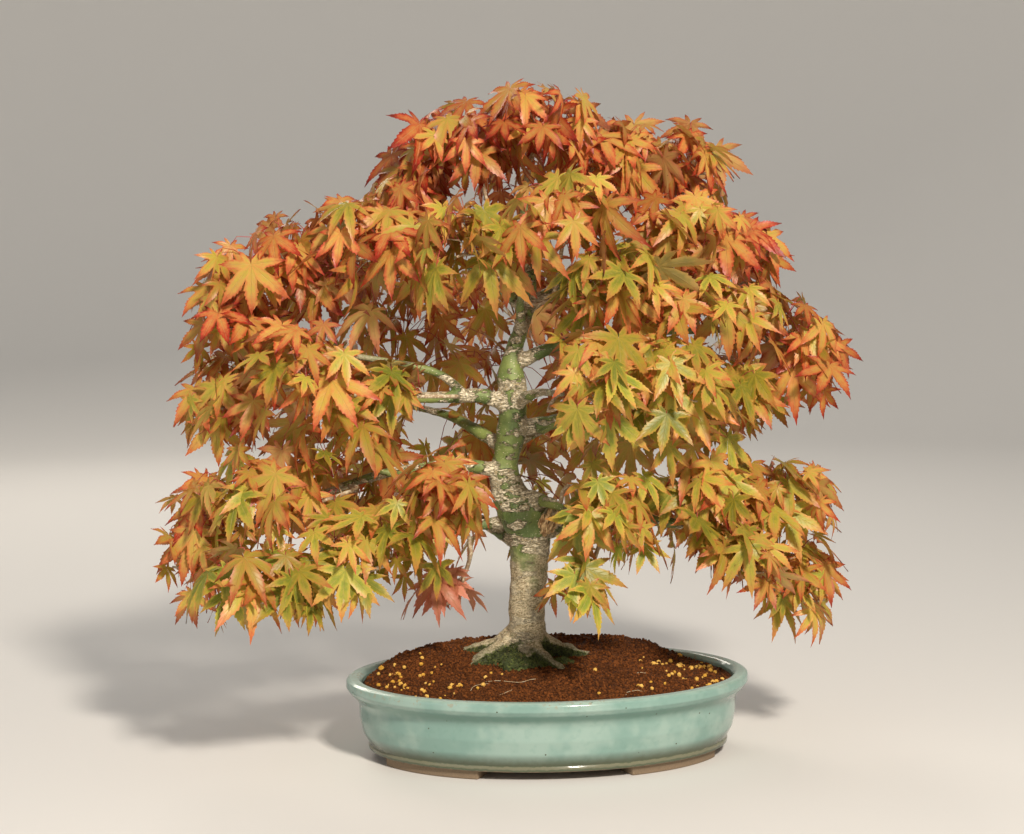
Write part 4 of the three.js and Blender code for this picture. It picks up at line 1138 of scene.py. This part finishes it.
def fits(heart, axis, normal, length, slack):
    """Whether a leaf stays inside the crown's outline and clear of its openings."""
    side = normal.cross(axis)
    ahead, aside = SIDE_TIP
    tips = [heart + axis * length, heart + (axis * ahead + side * aside) * length,
            heart + (axis * ahead - side * aside) * length]
    for point in (heart, *tips):
        across, height = from_front(point)
        if not CROWN_FRONT < point.y < CROWN_BACK:
            return False
        if across < between(CROWN_LEFT, height) - slack or height > CROWN_TOP:
            return False
        if across > between(CROWN_RIGHT, height) + slack:
            return False
        if height < between(CROWN_LOW, across) - slack:
            return False
        for left, low, right, high in OPENINGS:
            if left < across < right and low < height < high and point.y < OPENING_DEPTH:
                return False
    return True


def side_twigs(points, hearts, dice):
    """Thin twigs from the main one towards each small group of leaves."""
    count = max(3, round(len(hearts) / LEAVES_PER_TWIG))
    seeds = hearts[:count]
    groups = [[] for _ in seeds]
    for heart in hearts:
        nearest = min(range(count), key=lambda k: (heart - seeds[k]).length)
        groups[nearest].append(heart)
    routes = []
    for group in groups:
        centre = sum(group, Vector()) / len(group)
        near = nearest_on(points, centre)
        start = near.lerp(nearest_on(points, near + (points[0].xyz - near) * 0.25), 0.9)
        tip = start.lerp(centre, 0.66)
        bow = Vector([dice.uniform(-4, 4) for _ in range(3)]) + UP * 3
        rows = [(*start, 1.0), (*(start.lerp(tip, 0.5) + bow), 0.8), (*tip, 0.5)]
        routes.append(through(rows, TWIG_STEP))
    return routes


def leaf_places(index, name, middle, half, leafiness, way, fullness, length):
    """Where a spray's leaves sit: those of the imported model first, and then the ones that fill it."""
    places = [leaf_place(index, leaf, middle, half, *way, PACKED) for leaf in range(leafiness)]
    places = [place for place in places if fits(*place[:3], place[3] * length, PACKED_SLACK)]
    more = [(middle, half, round(leafiness * (fullness - 1)))]
    more += [(Vector(row[1]), Vector(row[2]), row[3]) for row in BETWEEN if row[0] == name]
    leaf = leafiness
    for centre, sizes, number in more:
        wanted = len(places) + number
        for leaf in range(leaf, leaf + round(number * TRIES)):
            heart, axis, normal, size = leaf_place(index, leaf, centre, sizes, *way, FILLING)
            size *= blend(*FILLING_SIZE, draw(index, leaf, 8))
            if len(places) < wanted and fits(heart, axis, normal, size * length, CROWN_SLACK):
                places.append((heart, axis, normal, size))
    return places


def add_stalk(bm, start, heart, axis, normal):
    """A thin stalk that arches from its twig and meets its leaf from behind."""
    span = (heart - start).length
    arch = start + (heart - start) * 0.3 + UP * 0.22 * span
    arrive = heart - axis * 0.4 * span + normal * 0.05 * span
    curve = interpolate_bezier(start, arch, arrive, heart - normal * 0.4, 5)
    stalk = [Vector((*point, blend(*STALK_RADII, k / 4))) for k, point in enumerate(curve)]
    sweep(bm, stalk, 3, STALK_LAYER)


def model_spray(index, spray, leaves, settings):
    """A mesh of the twigs, stalks and leaves of one spray."""
    name, middle, half, leafiness, branch, place, tint = spray
    middle, half = Vector(middle), Vector(half)
    dice = random.Random(index)
    bm = bmesh.new()
    bm.loops.layers.uv.new("lobe")
    bm.verts.layers.float.new("turned")
    bm.verts.layers.float.new("tone")
    points, radii, outward = twig_route(middle, half, branch, place)
    rows = [(*point.xyz, radius) for point, radius in zip(points, radii)]
    sweep(bm, through(rows, TWIG_STEP), 6, TWIG_LAYER)
    way = points, outward, Vector() if name.startswith("back") else LIGHT_PULL
    length = settings.length / MM
    fullness = THINNER.get(name, settings.fullness)
    places = leaf_places(index, name, middle, half, leafiness, way, fullness, length)
    twigs = side_twigs(points, [heart for heart, *_ in places], dice)
    for twig in twigs:
        sweep(bm, twig, 4, TWIG_LAYER)
    for heart, axis, normal, _ in places:
        twig = min(twigs, key=lambda route: (route[-1].xyz - heart).length)
        spot = twig[-1] if dice.random() < 0.5 else twig[len(twig) // 2]
        add_stalk(bm, spot.xyz, heart, axis, normal)
    for leaf, (heart, axis, normal, size) in enumerate(places):
        shape = dice.choice(leaves)
        side = normal.cross(axis)
        scale = length * size
        stand = Matrix((axis * scale, side * scale, normal * scale)).transposed().to_4x4()
        state = TURNED[tint] - PALER.get(name, 0) + TURNED_SPREAD * (draw(index, leaf, 6) - 0.5)
        state += 0.12 * noise.noise(heart / 60) + TURNED_ABOVE * (heart.z - CROWN_MIDDLE) / CROWN_STEP
        plant(bm, shape, Matrix.Translation(heart) @ stand, turned=state, tone=draw(index, leaf, 7))
    to_frame(bm)
    return mesh_of("leaves_" + name, bm)


# Operators

class BONSAI_OT_pot(bpy.types.Operator):
    """Throws the oval pot with its rolled lip, foot line, four feet and two drainage holes"""

    bl_idname = "bonsai.pot"
    bl_label = "Make the pot"

    def execute(self, context):
        s = context.scene.bonsai_pot
        corners = [(HALF_LENGTH - inset, height, radius) for inset, height, radius in POT_WALL]
        profile = rounded([(0, FOOT_HEIGHT, 0), *corners, (0, FLOOR_TOP, 0)])
        bm = squeezed(spun(profile, s.facets, 0.01))
        for first, last in FOOT_SPANS:
            add_foot(bm, first, last)
        to_frame(bm)
        holes = [(-DRAIN_OFFSET, 0), (DRAIN_OFFSET, 0)]
        mesh = drilled(bm, holes, DRAIN_RADIUS, 4 * FLOOR_TOP)
        glaze = material("Celadon glaze over stoneware", paint_glaze, s)
        finish_piece("oval_pot", mesh, [glaze], ["pot"])
        return {"FINISHED"}


class BONSAI_OT_screens(bpy.types.Operator):
    """Gives the two drainage screens their black plastic"""

    bl_idname = "bonsai.screens"
    bl_label = "Finish the screens"

    def execute(self, context):
        plastic = material("Black polythene mesh", paint_plastic)
        for side in ("left", "right"):
            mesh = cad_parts["drainage_screen_" + side].data
            mesh.materials.clear()
            mesh.materials.append(plastic)
        return {"FINISHED"}


class BONSAI_OT_soil(bpy.types.Operator):
    """Fills the pot with fired clay soil, mounded to the trunk"""

    bl_idname = "bonsai.soil"
    bl_label = "Fill in the soil"

    def execute(self, context):
        s = context.scene.bonsai_soil
        edge = NECK_LENGTH - CLEARANCE
        base = FLOOR_TOP + CLEARANCE
        rings, facets = 62, 168
        side = [(0, base), (HALF_LENGTH - FLOOR_INSET - CLEARANCE, base),
                *((HALF_LENGTH - inset, height) for inset, height in SOIL_WALL),
                (edge, NECK_HEIGHT), (edge, SOIL_EDGE)]
        # The top is spun flat, a little over the edge, and then lifted to the mound
        top = [(edge * (1 - k / rings), SOIL_EDGE + 1) for k in range(1, rings + 1)]
        bm = squeezed(spun(side + top, facets, 0.01))
        for vert in bm.verts:
            if vert.co.z > SOIL_EDGE + 0.5:
                x, y = vert.co.x, vert.co.y
                vert.co.z = soil_height(x, y) + lumps(x, y)
        to_frame(bm)
        clay = material("Fired clay soil", paint_soil, s)
        finish_piece("clay_soil", mesh_of("clay_soil", bm), [clay], ["soil"])
        return {"FINISHED"}


# Dead rootlets on the soil: both ends, and how far the middle bows out
ROOTLETS = (
    ((-62, -62), (-14, -66), 5), ((-78, -84), (-60, -70), -4), ((-52, -96), (-38, -84), 4),
    ((70, -100), (92, -88), -4), ((84, -36), (96, -30), 3),
)
ROOTLET_RADIUS = 0.3

# Fertiliser pellets lie mostly near the front left and the right end of the pot, in heaps: middle and
# reach of each, how far they all keep in from the lip's edge, and the share that strays
HEAPS = ((-118, -62, 38), (-150, -30, 24), (140, -40, 34), (150, 20, 26))
HEAP_INSET = 22
STRAY_PELLETS = 0.25
PELLET_RADIUS = 1.85


class BONSAI_OT_grains(bpy.types.Operator):
    """Scatters loose grains, fertiliser pellets and a few dead rootlets on the soil"""

    bl_idname = "bonsai.grains"
    bl_label = "Scatter the grains"

    def execute(self, context):
        s = context.scene.bonsai_soil
        dice = random.Random(7)
        bm = bmesh.new()
        bmesh.ops.create_icosphere(bm, subdivisions=1, radius=1)
        lump = mesh_of("lump", bm)

        def strew(name, count, size, spot, paint):
            pile = bmesh.new()
            pile.verts.layers.float.new("tone")
            for _ in range(count):
                x, y = spot()
                radius = size * dice.uniform(0.65, 1.5)
                squash = [radius * dice.uniform(0.7, 1.25) for _ in range(3)]
                axis = Vector([dice.uniform(-1, 1) for _ in range(3)])
                turn = Matrix.Rotation(dice.uniform(0, TURN), 4, axis)
                height = soil_height(x, y) + lumps(x, y) + 0.35 * radius
                stand = Matrix.Translation((x, y, height)) @ turn @ Matrix.Diagonal((*squash, 1))
                plant(pile, lump, stand, tone=dice.random())
            to_frame(pile)
            finish_piece(name, mesh_of(name, pile), [paint])

        def anywhere(limit=0.985):
            while True:
                x, y = dice.uniform(-1, 1), dice.uniform(-1, 1)
                if math.hypot(x, y) < limit:
                    return x * NECK_LENGTH, y * NECK_WIDTH

        def fed():
            """A pellet's place: a few lie anywhere, the rest round one of the heaps."""
            if dice.random() < STRAY_PELLETS:
                return anywhere(0.93)
            x, y, reach = dice.choice(HEAPS)
            while True:
                spot = (x + dice.gauss(0, reach * 0.7), y + dice.gauss(0, reach * 0.6))
                if math.hypot(spot[0] / (HALF_LENGTH - HEAP_INSET), spot[1] / (HALF_WIDTH - HEAP_INSET)) < 1:
                    return spot

        clay = material("Loose clay grains", paint_grain, s.dark, s.light)
        strew("loose_grains", s.grains, s.grain_size / MM, anywhere, clay)
        food = material("Pressed rapeseed pellets", paint_grain, s.pellet, "#ecc068")
        strew("fertiliser_pellets", s.pellets, PELLET_RADIUS, fed, food)

        strands = bmesh.new()
        for first, last, bow in ROOTLETS:
            rows = []
            for k in range(7):
                share = k / 6
                x, y = (blend(a, b, share) for a, b in zip(first, last))
                arch = math.sin(share * math.pi)
                x, y = x + bow * arch + dice.uniform(-1.4, 1.4), y - bow * arch + dice.uniform(-1.8, 1.8)
                rows.append((x, y, soil_height(x, y) + lumps(x, y) + 0.5 + arch, ROOTLET_RADIUS))
            sweep(strands, through(rows, 4), 4)
        to_frame(strands)
        dead = material("Dry rootlets", paint_twig, "#b59a72")
        finish_piece("dry_rootlets", mesh_of("dry_rootlets", strands), [dead])
        return {"FINISHED"}


def leaving(route, trunk):
    """The first point of a branch's route that stands clear of the trunk's middle."""
    for point in route:
        if all((point.xyz - spot.xyz).length > spot.w for spot in trunk):
            return point
    return route[0]


# Step of the wood's routes, and the largest radius of the trunk
WOOD_STEP = 4
WIDEST = 27

# Height over the soil up to which moss grows on the sides of the wood
SHELTER = 30

# Below this height the roots are lumpy, and fully so from a little lower
LUMPY_BELOW = 120
LUMPY_FADE = 20

# Heights where cork rings the trunk's swellings, and how far it spreads up and down
CORK_RINGS = ((210, 11), (266, 12), (366, 7))


def crust_at(spot, collars):
    """How much cork covers a spot: round the collars of the branches, in rings and in patches."""
    gap, collar = min(((spot - point.xyz).length, point.w) for point in collars)
    squeezed = spot * Vector((1, 1, 2.2)) + Vector((0, 0, 5)) * noise.noise(spot / 30)
    ring = max(math.exp(-((spot.z - height) / reach) ** 2) for height, reach in CORK_RINGS)
    patch = 0.3 + 0.5 * ring + 0.9 * noise.noise(squeezed / 17) + 0.35 * noise.noise(squeezed / 6)
    return clamp(max(patch, 1.5 - gap / (0.8 * collar + 6)))


def bark_lift(spot, near, crust):
    """How far the bark stands out at a spot, in millimetres, on a stem of radius near."""
    # Broad lumps and upright flutes grow with the stem, roots are lumpy too, and thin twigs are plain
    flute = noise.noise(spot * Vector((1, 1, 0.25)) / 9)
    lump = near * (0.07 * noise.noise(spot / 26) + 0.05 * flute) + 0.6 * noise.noise(spot / 9)
    lump += 2.3 * noise.noise(spot / 10) * clamp((LUMPY_BELOW - spot.z) / LUMPY_FADE)
    wrinkle = noise.noise(spot * Vector((1, 1, 2.2)) / 5.5)
    rise = 0.9 * crust + (0.8 * crust + 0.15) * wrinkle
    return lump * min(near / 6, 1) + rise * min(near / 9, 1)


class BONSAI_OT_wood(bpy.types.Operator):
    """Grows the roots, trunk, healed stumps and branches as one piece of wood"""

    bl_idname = "bonsai.wood"
    bl_label = "Grow the wood"

    def execute(self, context):
        s = context.scene.bonsai_wood
        routes = [through(rows, WOOD_STEP) for rows in (TRUNK, *ROOTS, *STUMPS, *BRANCHES.values())]
        bm = bmesh.new()
        for route in routes:
            sweep(bm, route, 16)
        to_frame(bm)
        stems = placed("stems", mesh_of("stems", bm))
        remesh = stems.modifiers.new("Join", "REMESH")
        remesh.mode = "VOXEL"
        remesh.voxel_size = s.cell
        joined = shaped(stems)
        bpy.data.objects.remove(stems)

        bm = bmesh.new()
        bm.from_mesh(joined)
        for _ in range(3):
            bmesh.ops.smooth_vert(bm, verts=bm.verts, factor=0.5, use_axis_x=True, use_axis_y=True,
                                  use_axis_z=True)
        samples = [point for route in routes for point in route]
        tree = KDTree(len(samples))
        for k, point in enumerate(samples):
            tree.insert(at(point), k)
        tree.balance()
        trunk = routes[0]
        collars = [leaving(route, trunk) for route in routes[1 + len(ROOTS):]]
        girth = bm.verts.layers.float.new("girth")
        corked = bm.verts.layers.float.new("corked")
        sheltered = bm.verts.layers.float.new("sheltered")
        bm.normal_update()
        moves = []
        for vert in bm.verts:
            near = max(samples[k].w for _, k, _ in tree.find_n(vert.co, 3))
            vert[girth] = near / WIDEST
            spot = (vert.co - MIDDLE) / MM
            over = (spot.z - soil_height(spot.x, spot.y)) / SHELTER
            vert[sheltered] = clamp(1 - over) * clamp(1.22 - vert.normal.z * 1.3)
            crust = crust_at(spot, collars)
            vert[corked] = crust
            moves.append(vert.normal * bark_lift(spot, near, crust) * MM)
        for vert, move in zip(bm.verts, moves):
            vert.co += move
        smooth(bm)
        bark = material("Maple bark", paint_bark, s)
        finish_piece("maple_wood", mesh_of("maple_wood", bm), [bark], ["trunk"])
        return {"FINISHED"}


# Torn wood where a limb broke off: x, y and z of each splinter's foot, then of its tip, and its radius
SPLINTERS = (
    ((-5, -17, 221), (6, -24, 249), 3.8), ((-9, -18, 224), (-2, -24, 241), 3),
    ((1, -16, 221), (12, -22, 244), 3.4), ((5, -14, 222), (15, -18, 237), 3),
    ((-2, -18, 219), (1, -24, 232), 3),
)


class BONSAI_OT_snag(bpy.types.Operator):
    """Leaves a torn stub of dead wood where a limb broke off"""

    bl_idname = "bonsai.snag"
    bl_label = "Leave the snag"

    def execute(self, context):
        bm = bmesh.new()
        for foot, tip, radius in SPLINTERS:
            foot, tip = Vector(foot), Vector(tip)
            rows = [(*foot, radius), (*foot.lerp(tip, 0.6), radius * 0.7), (*tip, 0.5)]
            sweep(bm, through(rows, 4), 7)
        for vert in bm.verts:
            fray = Vector((noise.noise(vert.co / 2), noise.noise(vert.co / 2 + UP * 40), 0))
            vert.co += fray * 0.9
        to_frame(bm)
        torn = material("Torn dead wood", paint_torn)
        finish_piece("torn_stub", mesh_of("torn_stub", bm), [torn])
        return {"FINISHED"}


# Mounds of moss between the front roots: middle and half sizes
CUSHIONS = (
    ((-32, -22, 86), (17, 17, 17)), ((-14, -24, 83), (14, 12, 12)), ((14, -10, 84), (13, 9, 10)),
    ((-62, 16, 85), (14, 9, 9)), ((-50, -12, 83), (12, 9, 9)),
)

# Tufts of moss: how sheltered the wood is where they grow, their range of height, and how far the
# outer tips lean, in degrees
MOSSY_ABOVE = 0.42
TUFT_HEIGHT = (1.1, 2.6)
TUFT_LEAN = 32


class BONSAI_OT_moss(bpy.types.Operator):
    """Sets tufts of moss between the roots"""

    bl_idname = "bonsai.moss"
    bl_label = "Set the moss"

    def execute(self, context):
        s = context.scene.bonsai_wood
        dice = random.Random(11)
        wood = bpy.data.objects["maple_wood"].data
        shelter = wood.attributes["sheltered"].data
        bm = bmesh.new()
        for middle, half in CUSHIONS:
            place = Matrix.Translation(middle) @ Matrix.Diagonal((*half, 1))
            bmesh.ops.create_icosphere(bm, subdivisions=4, radius=1, matrix=place)
        for vert in bm.verts:
            vert.co *= 1 + 0.03 * noise.noise(vert.co / 9)
            vert.co += Vector((noise.noise(vert.co / 5), noise.noise(vert.co / 5 + UP * 9), 0.5)) * 1.8
        smooth(bm)
        to_frame(bm)
        tone = bm.verts.layers.float.new("tone")
        for vert in bm.verts:
            vert[tone] = 0.1
        mound = mesh_of("moss_mounds", bm)
        finish_piece("moss_mounds", mound, [material("Moss cushions", paint_moss, s)])
        rooted = [vert for vert in wood.vertices if shelter[vert.index].value > MOSSY_ABOVE]
        rooted += [vert for vert in mound.vertices if vert.normal.z > -0.1]
        # A tuft is one upright tip among four that lean out
        bm = bmesh.new()
        for k in range(5):
            lean = Matrix.Rotation(math.radians(0 if k == 0 else TUFT_LEAN), 4, Vector((1, 0, 0)))
            turn = Matrix.Rotation(TURN * k / 4, 4, UP)
            matrix = turn @ lean @ Matrix.Translation((0, 0, 0.5))
            bmesh.ops.create_cone(bm, cap_ends=False, segments=3, radius1=0.22, radius2=0, depth=1,
                                  matrix=matrix)
        bmesh.ops.remove_doubles(bm, verts=bm.verts, dist=1e-4)
        tuft = mesh_of("tuft", bm)
        cushion = bmesh.new()
        cushion.verts.layers.float.new("tone")
        for vert in dice.sample(rooted, min(len(rooted), s.tufts)):
            size = dice.uniform(*TUFT_HEIGHT) * MM
            stand = vert.normal.to_track_quat("Z", "X").to_matrix().to_4x4()
            spin = Matrix.Rotation(dice.uniform(0, TURN), 4, UP)
            stand = Matrix.Translation(vert.co) @ stand @ spin @ Matrix.Scale(size, 4)
            plant(cushion, tuft, stand, tone=dice.random() ** 1.6)
        moss = material("Moss tips", paint_moss, s)
        finish_piece("moss_tufts", mesh_of("moss_tufts", cushion), [moss])
        return {"FINISHED"}


class BONSAI_OT_sprays(bpy.types.Operator):
    """Leafs out every spray: twigs, crimson stalks and serrated leaves"""

    bl_idname = "bonsai.sprays"
    bl_label = "Leaf out the sprays"

    def execute(self, context):
        s = context.scene.bonsai_leaves
        dice = random.Random(3)
        leaves = [model_leaf(dice) for _ in range(LEAF_KINDS)]
        stalk = material("Leaf stalk", paint_stalk, s.stalk)
        twig = material("Young maple twig", paint_twig, s.twig)
        blades = {tint: material(f"Maple leaf, {tint}", paint_leaf, s, 0.78 if tint == "rose" else 0.0)
                  for tint in TURNED}
        for index, spray in enumerate(SPRAYS):
            name, tint = spray[0], spray[-1]
            mesh = model_spray(index, spray, leaves, s)
            finish_piece(f"leaves_{name}", mesh, [blades[tint], stalk, twig],
                         [f"spray_{name}"])
        return {"FINISHED"}


def camera_stand():
    """The camera's place and attitude, fitted to the two ovals of the pot's rim and foot line."""
    ahead = Vector((math.sin(CAMERA_TURN) * math.cos(CAMERA_PITCH),
                    math.cos(CAMERA_TURN) * math.cos(CAMERA_PITCH), -math.sin(CAMERA_PITCH)))
    right = Vector((math.cos(CAMERA_TURN), -math.sin(CAMERA_TURN), 0))
    level = Matrix((right, right.cross(ahead), -ahead)).transposed()
    return Matrix.Translation(at(CAMERA_PLACE)) @ (level @ Matrix.Rotation(CAMERA_ROLL, 3, "Z")).to_4x4()


# Lamps: places and sizes, in metres
KEY_PLACE, KEY_SIZE = (0.72, -2.65, 2.15), 0.38
FILL_PLACE, FILL_SIZE = (-2.2, -1.9, 1.1), 1.8
BACK_PLACE, BACK_SIZE = (-0.9, 2.5, 1.9), 1.4

# Round floor that curves up into a wall, in metres
FLOOR_REACH = 4.6
FLOOR_BEND = 1.8
WALL_HEIGHT = 3.4


class BONSAI_OT_stage(bpy.types.Operator):
    """Sets the floor, the lamps and the camera"""

    bl_idname = "bonsai.stage"
    bl_label = "Set the stage"

    def lamp(self, name, power, size, place, aim, shade):
        light = bpy.data.lights.new(name, "AREA")
        light.energy = power
        light.size = size
        light.color = shade
        lamp = placed(name, light)
        lamp.location = place
        lamp.rotation_mode = "QUATERNION"
        lamp.rotation_quaternion = (aim - Vector(place)).to_track_quat("-Z", "Y")

    def execute(self, context):
        s = context.scene.bonsai_stage
        corners = [(0.01, 0, 0), (FLOOR_REACH, 0, FLOOR_BEND), (FLOOR_REACH, WALL_HEIGHT, 0)]
        mesh = mesh_of("studio_floor", spun([(0, 0), *rounded(corners, 16)], 96, 1e-5))
        mesh.materials.append(material("Matt floor paint", paint_floor, s.floor))
        placed("studio_floor", mesh)

        context.scene.view_settings.view_transform = "Standard"
        world = bpy.data.worlds.new("Soft room")
        world.use_nodes = True
        context.scene.world = world
        sky = next(node for node in world.node_tree.nodes if node.type == "BACKGROUND")
        sky.inputs["Color"].default_value = rgba(s.sky)
        sky.inputs["Strength"].default_value = s.sky_strength

        crown = at((0, 0, CROWN_MIDDLE))
        self.lamp("key", s.key_power, KEY_SIZE, KEY_PLACE, crown, linear("#fff5e8"))
        self.lamp("fill", s.fill_power, FILL_SIZE, FILL_PLACE, crown, linear("#e4edf8"))
        self.lamp("back", s.back_power, BACK_SIZE, BACK_PLACE, crown, linear("#fff5e8"))

        camera = placed("camera", bpy.data.cameras.new("camera"))
        camera.data.lens = LENS
        camera.data.sensor_width = SENSOR
        camera.matrix_world = camera_stand()
        context.scene.camera = camera
        return {"FINISHED"}


STEPS = (BONSAI_OT_pot, BONSAI_OT_screens, BONSAI_OT_soil, BONSAI_OT_grains, BONSAI_OT_wood,
         BONSAI_OT_snag, BONSAI_OT_moss, BONSAI_OT_sprays, BONSAI_OT_stage)


class BONSAI_PT_steps(bpy.types.Panel):
    """Lists the steps that make the bonsai, and what can be changed"""

    bl_label = "Maple bonsai"
    bl_idname = "BONSAI_PT_steps"
    bl_space_type = "VIEW_3D"
    bl_region_type = "UI"
    bl_category = "Bonsai"

    def draw(self, context):
        for step in STEPS:
            self.layout.operator(step.bl_idname)
        for key, group in SETTINGS.items():
            box = self.layout.box()
            for name in group.__annotations__:
                box.prop(getattr(context.scene, key), name)


SETTINGS = {"bonsai_pot": PotSettings, "bonsai_soil": SoilSettings, "bonsai_wood": WoodSettings,
            "bonsai_leaves": LeafSettings, "bonsai_stage": StageSettings}


def register():
    for group in (*SETTINGS.values(), *STEPS, BONSAI_PT_steps):
        bpy.utils.register_class(group)
    for key, group in SETTINGS.items():
        setattr(bpy.types.Scene, key, PointerProperty(type=group))


def unregister():
    for key in SETTINGS:
        delattr(bpy.types.Scene, key)
    for group in reversed((*SETTINGS.values(), *STEPS, BONSAI_PT_steps)):
        bpy.utils.unregister_class(group)


def main():
    """Makes every piece in order."""
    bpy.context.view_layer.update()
    register()
    bpy.ops.bonsai.pot()
    bpy.ops.bonsai.screens()
    bpy.ops.bonsai.soil()
    bpy.ops.bonsai.grains()
    bpy.ops.bonsai.wood()
    bpy.ops.bonsai.snag()
    bpy.ops.bonsai.moss()
    bpy.ops.bonsai.sprays()
    bpy.ops.bonsai.stage()


if __name__ == "__main__":
    main()
